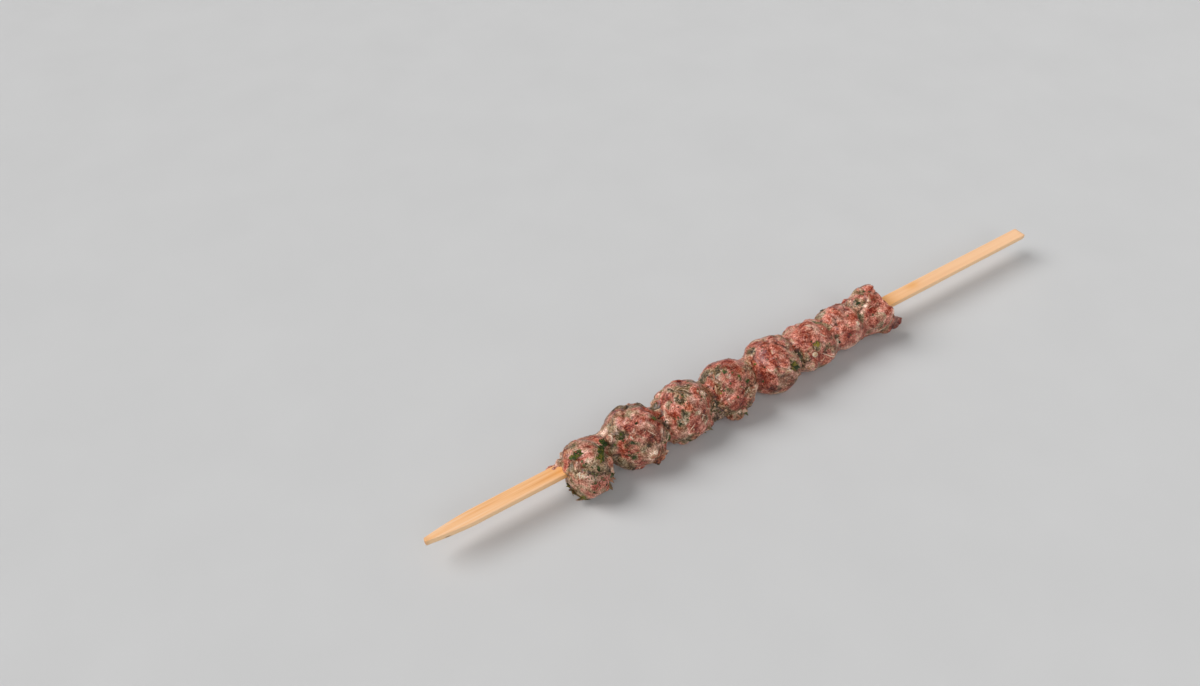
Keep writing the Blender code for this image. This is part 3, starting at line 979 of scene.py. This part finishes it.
# Shreds that stand out of the skin: place; how far they lean along and round the mince and
# stand out; length, width and how pale they are.
SHREDS = (
    (68.4, 80, (0.1, 1.0, 0.5), 2.2, 1.6, 0.9), (67.2, 96, (0.5, 0.5, 0.6), 2.4, 1.8, 0.5),
    (66.0, 104, (0.5, 0.6, 0.6), 2.4, 1.6, 0.4), (91.0, 100, (0.7, 0.2, 1.0), 2.0, 1.4, 0.9),
    (80.4, 116, (0.1, 0.7, 0.7), 2.2, 0.9, 1.0), (54.8, 150, (-0.9, -0.9, 0.5), 6.4, 1.5, 0.0),
    (55.0, 145, (-0.9, -0.9, 0.5), 5.8, 1.3, 0.3), (55.4, 141, (-0.9, -0.8, 0.5), 5.8, 1.5, 0.0),
    (56.0, 137, (-0.9, -0.7, 0.5), 4.6, 1.3, 0.2), (56.8, 130, (-0.8, -0.3, 0.5), 3.4, 1.3, 0.0),
    (127.6, 106, (0.8, 0.2, 0.7), 2.6, 2.2, 1.0), (109.4, 112, (0.4, 0.7, 0.5), 2.2, 1.6, 0.5),
    (156.0, 92, (0.8, 0.4, 0.6), 2.4, 1.8, 0.5), (74.6, 150, (0.5, 0.7, 0.6), 2.6, 1.6, 0.5),
    (112.0, -118, (-0.4, -0.7, 0.6), 2.8, 1.6, 0.6), (60.4, -126, (-0.7, -0.5, 0.6), 3.0, 1.4, 0.5),
    (146.0, -122, (0.6, -0.6, 0.6), 2.6, 1.8, 0.5),
)
SHREDS_ANYWHERE = 60
SHRED_STATIONS = 9
SHRED_ENDS = (1.0, 0.12)
SHRED_FLATNESS = 0.4

# How far the end of a shred that stands straight out droops, and how far back its root
# starts, as shares of its length; and how deep in the mince it starts.
SHRED_DROOP = 0.35
SHRED_ROOT = 0.2
SHRED_DEPTH = 0.5

# Torn, herby fringes of short shreds: the two ends of the fringe, how far its shreds lean
# along and round the mince, and how many there are.
FRINGES = (
    ((54.8, 150), (57.4, 126), (-0.9, -0.2), 10),
    ((67.0, 86), (66.0, 104), (0.4, 0.7), 7),
    ((122.0, 104), (129.0, 104), (0.5, 0.7), 6),
    ((112.0, 100), (108.0, 116), (0.5, 0.6), 6),
)

SPECKS = ((148.6, 38), (127.6, 12), (119.4, 24), (183.6, 44), (101.0, 28), (90.2, 8))
SPECKS_ANYWHERE = 34


def unit(directions):
    """Directions, each made of length one."""
    return directions / np.linalg.norm(directions, axis=1)[:, None]


def ball(subdivisions):
    """A ball's points and faces."""
    shape = bmesh.new()
    bmesh.ops.create_icosphere(shape, subdivisions=subdivisions, radius=1.0)
    points = np.array([vertex.co for vertex in shape.verts])
    faces = [[vertex.index for vertex in face.verts] for face in shape.faces]
    shape.free()
    return points, faces


BALLS = {2: ball(2), 3: ball(3)}
PEBBLE_UNEVEN = 0.34
PEBBLE_DENT = 0.9


def pebble(size, draw, subdivisions=2):
    """A lumpy bit of this full size."""
    points, faces = BALLS[subdivisions]
    uneven = rough_noise(points + draw.uniform(0, 99), PEBBLE_DENT, 5)
    return points * (1 + PEBBLE_UNEVEN * uneven)[:, None] * np.array(size) / 2, faces


LEAF_RINGS = 4
LEAF_SIDES = 15
LEAF_THICKNESS = 0.13


def leaf(length, width, draw):
    """A torn leaf: a thin curled sheet with lobes round its edge."""
    turn = np.linspace(0, 2 * math.pi, LEAF_SIDES, endpoint=False)
    lobes = np.cos(draw.choice((3, 4, 5)) * turn + draw.uniform(0, 6))
    edge = 0.78 + 0.2 * lobes + [draw.uniform(-0.12, 0.12) for _ in turn]
    share = np.linspace(0, 1, LEAF_RINGS + 1)[1:, None]
    across = (share * edge * np.sin(turn)).ravel() * width / 2
    ahead = (share * edge * np.cos(turn)).ravel() * length / 2
    curl, cup, fold = draw.uniform(-0.2, 0.4), draw.uniform(0.1, 0.6), draw.uniform(-0.3, 0.3)
    height = curl * ahead**2 / length + cup * across**2 / width + fold * ahead * across / length
    sheet = np.vstack([[0, 0, 0], np.stack([ahead, across, height], 1)])
    half = (0, 0, LEAF_THICKNESS / 2)
    points = np.vstack([sheet + half, sheet - half])
    under = len(sheet)
    faces = []
    for side in range(LEAF_SIDES):
        after = (side + 1) % LEAF_SIDES
        top = [[0, 1 + side, 1 + after]]
        for ring in range(LEAF_RINGS - 1):
            near = 1 + ring * LEAF_SIDES
            far = near + LEAF_SIDES
            top.append([near + side, far + side, far + after, near + after])
        faces += top + [[corner + under for corner in reversed(face)] for face in top]
        last = 1 + (LEAF_RINGS - 1) * LEAF_SIDES
        faces.append([last + after, last + side, last + side + under, last + after + under])
    return points, faces


STRAND_SIDES = 8
STRAND_THINNEST = 0.12
STRAND_FLATNESS = 0.8
STRAND_STATION = 0.45


def strand(line, out, width, height, ends):
    """A closed strand along a line, with its breadth across out; ends is its two end shares."""
    ahead = unit(np.gradient(line, axis=0))
    side = unit(np.cross(ahead, out))
    out = np.cross(side, ahead)
    share = np.linspace(0, 1, len(line))
    belly = np.sqrt(np.clip(1 - (2 * share - 1) ** 4, 0, 1))
    girth = belly * np.interp(share, (0, 0.5, 1), (ends[0], 1, ends[1]))
    girth = np.maximum(girth, STRAND_THINNEST)[:, None, None]
    turn = np.linspace(0, 2 * math.pi, STRAND_SIDES, endpoint=False)[None, :, None]
    rings = side[:, None] * np.cos(turn) * width / 2 + out[:, None] * np.sin(turn) * height / 2
    points = (line[:, None] + rings * girth).reshape(-1, 3)
    faces = [list(range(STRAND_SIDES))[::-1], list(range(len(points) - STRAND_SIDES, len(points)))]
    for station in range(len(line) - 1):
        for corner in range(STRAND_SIDES):
            here = station * STRAND_SIDES
            after = (corner + 1) % STRAND_SIDES
            there = here + STRAND_SIDES
            faces.append([here + corner, here + after, there + after, there + corner])
    return points, faces


class Bits:
    """Many small forms on the mince, gathered into one piece, each with its own shade."""

    def __init__(self, name, skin, seed):
        self.name = name
        self.skin = skin
        self.draw = random.Random(seed)
        self.points = []
        self.faces = []
        self.shades = []

    def anywhere(self):
        """A random place on the mince, clear of the ground."""
        while True:
            along = self.draw.uniform(*MINCE_SPAN)
            angle = self.draw.uniform(-180, 180)
            if self.skin.at(along, angle)[0].z > CLEAR_OF_GROUND * MM:
                return along, angle

    def near(self, along, angle, reach_along, reach_across):
        """A random place near another."""
        return (
            along + self.draw.uniform(-1, 1) * reach_along,
            angle + self.draw.uniform(-1, 1) * reach_across * DEGREES,
        )

    def shade_near(self, shade, spread):
        """A random shade near another, kept from 0 to 1."""
        return min(1, max(0, shade + self.draw.uniform(-spread, spread)))

    def seat(self, along, angle):
        """The place on the skin, and the directions ahead, left and out there."""
        at, out = self.skin.at(along, angle)
        ahead = (Vector((1, 0, 0)) - out * out.x).normalized()
        return np.array(at) / MM, Matrix((ahead, out.cross(ahead), out)).transposed()

    def lay(self, form, along, angle, shade, turn=0.0, tilt=0.0, sunk=0.0):
        """Lay a form on the skin, turned, tilted and sunk a little."""
        at, axes = self.seat(along, angle)
        axes = axes @ Matrix.Rotation(math.radians(turn), 3, "Z")
        axes = axes @ Matrix.Rotation(math.radians(tilt), 3, "Y")
        points, faces = form
        self.gather((at + (points - (0, 0, sunk)) @ np.array(axes).T, faces), shade)

    def gather(self, form, shade):
        """Add a form that is already in place."""
        points, faces = form
        first = sum(len(kept) for kept in self.points)
        self.points.append(points)
        self.faces += [[corner + first for corner in face] for face in faces]
        self.shades += list(np.broadcast_to(shade, len(points)))

    def lay_strand(self, places, width, shade, ends=(0.5, 0.5)):
        """Lay a strand, half sunk, along a line on the skin."""
        line = self.skin.line(places, STRAND_STATION)
        out = line - TIP_MM
        out[:, 0] = 0
        self.gather(strand(line, unit(out), width, width * STRAND_FLATNESS, ends), shade)

    def finish(self, material):
        """The piece that the gathered forms make."""
        mesh = bpy.data.meshes.new(self.name)
        points = np.vstack(self.points)
        points[:, 2] = np.maximum(points[:, 2], GROUND)
        mesh.from_pydata((points * MM).tolist(), [], self.faces)
        write_value(mesh, "shade", np.array(self.shades))
        made = new_object(self.name, mesh, material)
        return made


def scatter_parsley(skin, material):
    """Leaves of parsley in clumps, with torn bits anywhere."""
    bits = Bits("parsley_leaves", skin, 3)
    draw = bits.draw
    spots = list(PARSLEY)
    for _ in range(PARSLEY_ANYWHERE):
        place_and_reach = (*bits.anywhere(), 0.5, 0.5)
        spots.append((*place_and_reach, draw.choice((1, 1, 2)), draw.uniform(0.9, 1.7), draw.random()))
    for along, angle, reach_along, reach_across, count, size, light in spots:
        most_tilt = CLUMP_TILT if count > FEW_LEAVES else FLAT_TILT
        for _ in range(count):
            length = size * draw.uniform(0.8, 1.2)
            form = leaf(length, length * draw.uniform(0.55, 0.95), draw)
            tilt = draw.uniform(-most_tilt, most_tilt)
            shade = bits.shade_near(light, PARSLEY_SHADES)
            at = bits.near(along, angle, reach_along, reach_across)
            bits.lay(form, *at, shade, draw.uniform(0, 360), tilt, -LEAF_RAISED)
    return bits.finish(material)


def scatter_flecks(skin, material):
    """Fine flecks of herb, thickest where the mince is olive."""
    bits = Bits("herb_flecks", skin, 5)
    draw = bits.draw
    spots = [bits.anywhere() for _ in range(FLECKS_ANYWHERE)]
    for along, angle, half_width, strength in PATCHES["olive"]:
        for _ in range(round(FLECKS_PER_PATCH * half_width * strength)):
            spots.append(bits.near(along, angle, half_width, half_width))
    spots += [bits.near(*FLECK_CLUMP) for _ in range(FLECK_CLUMP_COUNT)]
    for at in spots:
        size = draw.uniform(0.4, 1.25)
        form = pebble((size, size * draw.uniform(0.35, 0.8), FLECK_THICKNESS), draw)
        bits.lay(form, *at, draw.random(), draw.uniform(0, 180), draw.uniform(-20, 20), 0.02)
    return bits.finish(material)


# A larger bit of onion is pinker in the middle, where the meat shows through it.
MIDDLE_SHARE = 0.3
MIDDLE_PINKER = 0.6

# How deep a larger bit is sunk, as a share of its thickness, and a smaller one, as a share of
# its breadth; and the size and whiteness of the small ones away from the clumps.
ONION_SUNK = 0.26
SMALL_SUNK = 0.14
SMALL_ONION = (0.9, 0.35)
ONION_SHADES = 0.3


def scatter_onion(skin, material):
    """Bits of onion and fat pressed into the skin."""
    bits = Bits("onion_bits", skin, 7)
    draw = bits.draw
    for along, angle, size, turn, white in ONION:
        form = pebble(size, draw, 3)
        off_middle = form[0][:, :2] / (MIDDLE_SHARE * size[0], MIDDLE_SHARE * size[1])
        pinker = MIDDLE_PINKER * np.exp(-(off_middle**2).sum(1))
        bits.lay(form, along, angle, white - pinker, turn, 0, size[2] * ONION_SUNK)
    small = [(bits.anywhere(), *SMALL_ONION) for _ in range(ONION_ANYWHERE)]
    for along, angle, reach_along, reach_round, count, size, white in ONION_CLUMPS:
        for _ in range(count):
            small.append((bits.near(along, angle, reach_along, reach_round), size, white))
    for at, size, white in small:
        size *= draw.uniform(0.5, 1.4)
        form = pebble((size, size * draw.uniform(0.5, 1.0), size * 0.5), draw)
        white = bits.shade_near(white, ONION_SHADES)
        bits.lay(form, *at, white, draw.uniform(0, 180), draw.uniform(-15, 15), size * SMALL_SUNK)
    return bits.finish(material)


def scatter_strands(skin, material):
    """Strands of fat and sinew, half sunk."""
    bits = Bits("fat_strands", skin, 11)
    draw = bits.draw
    for width, places in STRANDS:
        bits.lay_strand(places, width, STRAND_SHADE)
    for _ in range(STRANDS_ANYWHERE):
        along, angle = bits.anywhere()
        heading = draw.uniform(0, 2 * math.pi)
        bend = draw.uniform(-0.8, 0.8)
        half = draw.uniform(0.7, 2.0)
        places = [
            (along + half * step * math.cos(heading + bend * step),
             angle + half * step * math.sin(heading + bend * step) * DEGREES)
            for step in STRAND_STEPS
        ]
        bits.lay_strand(places, draw.uniform(0.22, 0.5), draw.random(), (draw.uniform(0.2, 1), 0.3))
    return bits.finish(material)


def random_shreds(bits):
    """Short shreds anywhere, and those of the torn fringes."""
    draw = bits.draw
    for _ in range(SHREDS_ANYWHERE):
        lean = (draw.uniform(-1, 1), draw.uniform(-1, 1), draw.uniform(0.0, 0.2))
        at = bits.anywhere()
        yield *at, lean, draw.uniform(1.0, 2.0), draw.uniform(0.7, 1.5), draw.random()
    for first, last, leans, count in FRINGES:
        for _ in range(count):
            share = draw.random()
            at = [a + (b - a) * share + draw.uniform(-0.6, 0.6) for a, b in zip(first, last)]
            lean = [amount + draw.uniform(-0.3, 0.3) for amount in leans]
            lean.append(draw.uniform(0.3, 0.8))
            yield *at, lean, draw.uniform(2.4, 4.4), draw.uniform(0.8, 1.6), draw.uniform(-0.1, 0.6)


def scatter_shreds(skin, material):
    """Shreds of meat that stand out of the skin and end in points."""
    bits = Bits("meat_shreds", skin, 13)
    share = np.linspace(0, 1, SHRED_STATIONS)[:, None]
    for along, angle, lean, length, width, pale in (*SHREDS, *random_shreds(bits)):
        at, axes = bits.seat(along, angle)
        ahead, left, out = (np.array(axes.col[axis]) for axis in range(3))
        heading = unit((lean[0] * ahead - lean[1] * left + lean[2] * out)[None])
        droop = -SHRED_DROOP * length * share**2 * lean[2] * out[None]
        line = at - SHRED_DEPTH * out + heading * length * (share * (1 + SHRED_ROOT) - SHRED_ROOT) + droop
        outs = np.repeat(out[None], SHRED_STATIONS, 0)
        bits.gather(strand(line, outs, width, width * SHRED_FLATNESS, SHRED_ENDS), pale)
    return bits.finish(material)


def scatter_specks(skin, material):
    """Specks of pepper and other ground spice."""
    bits = Bits("spice_specks", skin, 17)
    draw = bits.draw
    for at in (*SPECKS, *[bits.anywhere() for _ in range(SPECKS_ANYWHERE)]):
        size = draw.uniform(0.3, 0.7)
        form = pebble((size * 1.5, size, size * 0.6), draw)
        bits.lay(form, *at, draw.random(), draw.uniform(0, 180), 0, 0.05)
    return bits.finish(material)


def bit_material(name, tints, size, roughness, glow):
    """A small bit's material: from dark to light by its own shade, and mottled."""
    n = Nodes(name)
    mottle = n.noise(size, 2, 0.6)
    shade = n.sum((n.value("shade"), 0.8), (mottle, 0.4))
    colour = n.colours(shade, *zip(np.linspace(0.15, 0.95, len(tints)), tints))
    n.bump(mottle, 0.08 * MM, 0.5)
    return n.finish(
        Base_Color=colour,
        Roughness=n.sum((mottle, 0.3), (mottle, roughness)),
        Specular_IOR_Level=0.3,
        Subsurface_Weight=glow,
        Subsurface_Radius=(1.0, 0.7, 0.4),
        Subsurface_Scale=0.6 * MM,
    )


PARSLEY_TINTS = (tint(24, 36, 10), tint(64, 82, 30), tint(142, 124, 44))
FLECK_TINTS = (tint(44, 48, 22), tint(98, 96, 54))
ONION_TINTS = (tint(178, 112, 90), tint(196, 160, 126), tint(222, 206, 182))
FAT_TINTS = (tint(206, 152, 124), tint(232, 204, 178))
SHRED_TINTS = (tint(88, 94, 58), tint(150, 102, 76), tint(218, 176, 150))
SPICE_TINTS = (tint(28, 20, 16), tint(70, 48, 34))

# The scattered kinds: how they are scattered; then their material's name, tints from dark to
# light, size of mottling, roughness and glow.
KINDS = (
    (scatter_parsley, "parsley", PARSLEY_TINTS, 0.9, 0.5, 0.0),
    (scatter_flecks, "herb_fleck", FLECK_TINTS, 0.6, 0.6, 0.0),
    (scatter_onion, "onion", ONION_TINTS, 0.8, 0.3, 0.2),
    (scatter_strands, "fat", FAT_TINTS, 0.7, 0.4, 0.2),
    (scatter_shreds, "shred", SHRED_TINTS, 0.8, 0.5, 0.1),
    (scatter_specks, "spice", SPICE_TINTS, 0.4, 0.6, 0.0),
)


def make_bits(skin):
    """Everything scattered on the mince."""
    return [scatter(skin, bit_material(*looks)) for scatter, *looks in KINDS]


# ---------------------------------------------------------------- the stick

BAMBOO_TOP = tint(251, 193, 137)
BAMBOO_PALE = tint(254, 206, 162)
# The sides, painted lighter to stand in for light falling on them.
BAMBOO_SIDE_PAINTED_LIGHT = tint(255, 212, 164)
BAMBOO_AMBER = tint(240, 166, 78)
BAMBOO_FIBRE = tint(236, 168, 106)
BAMBOO_NICK = tint(116, 74, 40)

# The stains and painted light over the wood, from the lowest: what the mesh keeps it by, its share and
# colour.
BAMBOO_STAINS_AND_PAINTED_LIGHT = (
    ("farther", 0.75, BAMBOO_PALE),
    # Painted light: the sides lighter, nearly as bright as the top.
    ("side", 1.0, BAMBOO_SIDE_PAINTED_LIGHT),
    # Painted highlight along the rounded edges.
    ("edge", 0.7, BAMBOO_PALE),
    ("amber", 0.6, BAMBOO_AMBER),
    ("nick", 0.9, BAMBOO_NICK),
)

POINT_LENGTH = 18.0
POINT_WIDTH = 1.8
POINT_FULLNESS = 1.45
STICK_CORNER = 0.42
STICK_CELL = 0.3
STICK_STATION = 0.8
CORNER_STEPS = 4

# The rounding of the two ends: how far along and how far in it reaches, and the rings that
# shape the near one.
END_LENGTH = 0.3
END_INSET = 0.35
END_STATIONS = (0.0, 0.12, 0.3)
END_RING = 0.12
END_CLEAR = 0.4

# How much the sides rise and fall with the fibres and with the knife's waver, and how far in
# they are on the whole.
FIBRE_RISE = 0.05
WAVER_RISE = 0.07
SIDE_INSET = 0.06

# A dark nick near the point, in the side of -Y: its place along and up, and how it fades.
NICK_PLACE = (7.6, -0.7)
NICK_SPREAD = (0.8, 0.12)

# How far the dark of the cut tip reaches.
TIP_DARK_LENGTH = 0.8

# From where on, and over what length, the stick grows paler.
PALER_FROM = 60
PALER_OVER = 200

# How far the meat's juice has soaked along the stick on either side, and a stain farther on.
SOAKED_BEFORE = 7.0
SOAKED_AFTER = 6.0
STAIN_PLACE = (231.0, 0.8)
STAIN_SIZE = (4.0, 1.6)


def rounded_rectangle(half_width, half_height, corner, side_step):
    """Points round a rectangle with round corners."""
    points = []
    for turn in range(4):
        angle = turn * math.pi / 2
        across = math.copysign(half_width - corner, math.cos(angle + math.pi / 4))
        up = math.copysign(half_height - corner, math.sin(angle + math.pi / 4))
        for step in range(CORNER_STEPS + 1):
            bend = angle + step / CORNER_STEPS * math.pi / 2
            points.append((across + corner * math.cos(bend), up + corner * math.sin(bend)))
    filled = []
    for here, there in zip(points, points[1:] + points[:1]):
        gap = math.dist(here, there)
        cuts = max(1, round(gap / side_step))
        for cut in range(cuts):
            share = cut / cuts
            filled.append([a + (b - a) * share for a, b in zip(here, there)])
    return np.array(filled)


def loft(shape, rings):
    """Join rings of points into one closed skin with flat ends, all in millimetres."""
    made = [[shape.verts.new(Vector(point) * MM) for point in ring] for ring in rings]
    for first, second in zip(made, made[1:]):
        for side in range(len(first)):
            after = (side + 1) % len(first)
            shape.faces.new((first[side], first[after], second[after], second[side]))
    for ring in (made[0][::-1], made[-1]):
        shape.faces.new(ring)


def stick_share(along):
    """How wide the stick is at a distance from its tip, as a share of its full width."""
    left = max(0.0, 1.0 - along / POINT_LENGTH)
    full = (STICK_HIGH.y - STICK_LOW.y) / MM
    return 1.0 - (1.0 - POINT_WIDTH / full) * left**POINT_FULLNESS


def stick_rings():
    """The stick's outline at each of its stations, from the tip to the square end."""
    length, width, height = STICK_SIZE
    section = rounded_rectangle(width / 2, height / 2, STICK_CORNER, STICK_CELL)
    between = np.arange(STICK_STATION, length - END_CLEAR, STICK_STATION)
    for along in (*END_STATIONS, *between, length - END_RING, length):
        ring = section * (stick_share(along), 1.0)
        end = min(along, length - along)
        inset = END_INSET * (1 - min(1.0, end / END_LENGTH)) ** 2
        ring = ring - np.sign(ring) * np.minimum(np.abs(ring), inset)
        yield [TIP_MM + (along, *point) for point in ring]


def wear_stick(mesh):
    """Roughen the stick with its fibres and the knife's waver, and return its smooth points."""
    points = read_points(mesh)
    normals = read_normals(mesh)
    local = points - TIP_MM
    grain = rough_noise(local * (0.012, 1.0, 1.0), 0.42, 201)
    waver = soft_noise(local * (0.05, 0.15, 0.15), 1.0, 211)
    inner = (local[:, 0] > END_CLEAR) & (local[:, 0] < STICK_SIZE.x - END_CLEAR)
    normals[:, 0] = 0
    rise = FIBRE_RISE * grain + WAVER_RISE * waver - SIDE_INSET
    write_points(mesh, points + normals * (inner * rise)[:, None])
    return local


def mark_stick(mesh, local):
    """Write the painted light of sides and edges, and where the stick is nicked, soaked and farther on.
    """
    along, across, up = local.T
    nick_along = (along - NICK_PLACE[0]) ** 2 / NICK_SPREAD[0]
    nick_up = (up - NICK_PLACE[1]) ** 2 / NICK_SPREAD[1]
    nick = np.exp(-nick_along - nick_up)
    tip_dark = np.exp(-along / TIP_DARK_LENGTH)
    before = np.maximum(0, (MEAT_LOW.x - TIP.x) / MM - along)
    after = np.maximum(0, along - (MEAT_HIGH.x - TIP.x) / MM)
    soaked = np.exp(-before / SOAKED_BEFORE - after / SOAKED_AFTER)
    stain_along = (along - STAIN_PLACE[0]) / STAIN_SIZE[0]
    stain_across = (across - STAIN_PLACE[1]) / STAIN_SIZE[1]
    stain = np.exp(-(stain_along**2) - stain_across**2)
    out = np.abs(read_normals(mesh))
    # Painted light on the sides facing across, and a painted highlight on the rounded edges.
    write_value(mesh, "side", ramp(out[:, 1], 0.3, 0.9))
    write_value(mesh, "edge", ramp(out[:, 1] * out[:, 2], 0.2, 0.5))
    write_value(mesh, "nick", np.clip(nick * (across < 0) + 0.3 * tip_dark, 0, 1))
    write_value(mesh, "amber", np.clip(soaked + stain + 0.6 * tip_dark, 0, 1))
    write_value(mesh, "farther", np.clip((along - PALER_FROM) / PALER_OVER, 0, 1))


def make_stick(material):
    """The flat bamboo stick, with fine grain along it and edges worn by the splitting knife."""
    shape = bmesh.new()
    loft(shape, list(stick_rings()))
    mesh = mesh_of(shape, "bamboo_strip")
    mark_stick(mesh, wear_stick(mesh))
    stick = new_object("bamboo_strip", mesh, material)
    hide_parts("bamboo_stick")
    return stick


def bamboo_material():
    """Split bamboo: fine fibres along the stick, amber where the meat's juice has soaked in."""
    n = Nodes("bamboo")
    fine = n.noise(0.9, 3, stretch=(0.02, 1, 1))
    broad = n.noise(2.4, 2, stretch=(0.05, 1, 1), salt=5)
    grain = n.sum((fine, 0.6), (broad, 0.5))
    wood = n.colours(grain, (0.4, BAMBOO_FIBRE), (0.54, BAMBOO_TOP), (0.68, BAMBOO_PALE))
    for name, share, stain in BAMBOO_STAINS_AND_PAINTED_LIGHT:
        wood = n.overlaid(wood, name, share, stain)
    n.bump(n.sum((fine, 1.0), (n.noise(0.2, 2, stretch=(0.03, 1, 1)), 0.5)), 0.08 * MM, 0.5)
    return n.finish(Base_Color=wood, Roughness=n.sum((fine, 0.6), (broad, 0.5)))


# ---------------------------------------------------------------- the stage

CAMERA_PLACE = (-0.1960, -0.1756, 0.2787)
CAMERA_TILT = 44.9
CAMERA_HEADING = -33.29
CAMERA_LENS = 28.0

# The floor is round, and far out it curves up all round into a plain backdrop.
FLOOR_RADIUS = 2.6
COVE_RADIUS = 1.3
COVE_STEPS = 12
WALL_TOP = 1.9
FLOOR_SIDES = 72
FLOOR_TONES = (0.60, 0.64)
FLOOR_MOTTLE = 40.0

# The softboxes: name, where they shine from, how many degrees of the sky they spread over,
# and power.
LAMPS = (
    ("key_light", (-1.1, 0.85, 1.35), 40, 2.5),
    ("fill_light", (-0.5, -1.1, 1.1), 50, 0.9),
)
WHITE = (1, 1, 1, 1)
WORLD_POWER = 0.18
NEAREST_SEEN = 0.01


def make_floor():
    """A plain pale floor that curves up far away."""
    n = Nodes("floor")
    tones = [(tone, tone, tone, 1) for tone in FLOOR_TONES]
    pale = n.colours(n.noise(FLOOR_MOTTLE, 2), *zip((0.0, 1.0), tones))
    climb = np.linspace(0, math.pi / 2, COVE_STEPS)
    radii = FLOOR_RADIUS + COVE_RADIUS * np.sin(climb)
    heights = COVE_RADIUS * (1 - np.cos(climb))
    profile = [(FLOOR_RADIUS / 2, 0.0), *zip(radii, heights)]
    profile.append((FLOOR_RADIUS + COVE_RADIUS, WALL_TOP))
    turn = np.linspace(0, 2 * math.pi, FLOOR_SIDES, endpoint=False)
    shape = bmesh.new()
    rings = []
    for radius, height in profile:
        ring = [shape.verts.new((radius * math.cos(a), radius * math.sin(a), height)) for a in turn]
        rings.append(ring)
    shape.faces.new(rings[0])
    for inner, outer in zip(rings, rings[1:]):
        for side in range(FLOOR_SIDES):
            after = (side + 1) % FLOOR_SIDES
            shape.faces.new((inner[side], outer[side], outer[after], inner[after]))
    floor = new_object("floor", mesh_of(shape, "floor"), n.finish(Base_Color=pale, Roughness=0.8))


def add_softbox(name, toward, spread, power):
    """A large, distant softbox, which spreads over this many degrees of the sky."""
    light = bpy.data.lights.new(name, "SUN")
    light.angle = math.radians(spread)
    light.energy = power
    made = add_to_scene(name, light)
    made.location = toward
    made.rotation_euler = (-Vector(toward)).to_track_quat("-Z", "Y").to_euler()


def make_studio():
    """Soft light from above and behind, a weaker one from the front, and a camera."""
    for lamp in LAMPS:
        add_softbox(*lamp)
    world = bpy.data.worlds.new("studio")
    world.use_nodes = True
    sky = world.node_tree.nodes["Background"]
    sky.inputs["Color"].default_value = WHITE
    sky.inputs["Strength"].default_value = WORLD_POWER
    bpy.context.scene.world = world
    bpy.context.scene.view_settings.view_transform = "Standard"

    lens = bpy.data.cameras.new("camera")
    lens.lens = CAMERA_LENS
    lens.clip_start = NEAREST_SEEN
    camera = add_to_scene("camera", lens)
    camera.location = CAMERA_PLACE
    camera.rotation_euler = (math.radians(CAMERA_TILT), 0, math.radians(CAMERA_HEADING))
    bpy.context.scene.camera = camera


def main():
    """The skewer, its floor, and the studio round it."""
    mince = make_mince(mince_material())
    pieces = [mince, make_stick(bamboo_material()), *make_bits(Skin(mince.data))]
    for piece in pieces:
        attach(piece, BODY)
    make_floor()
    make_studio()


main()

bpy.context.view_layer.update()
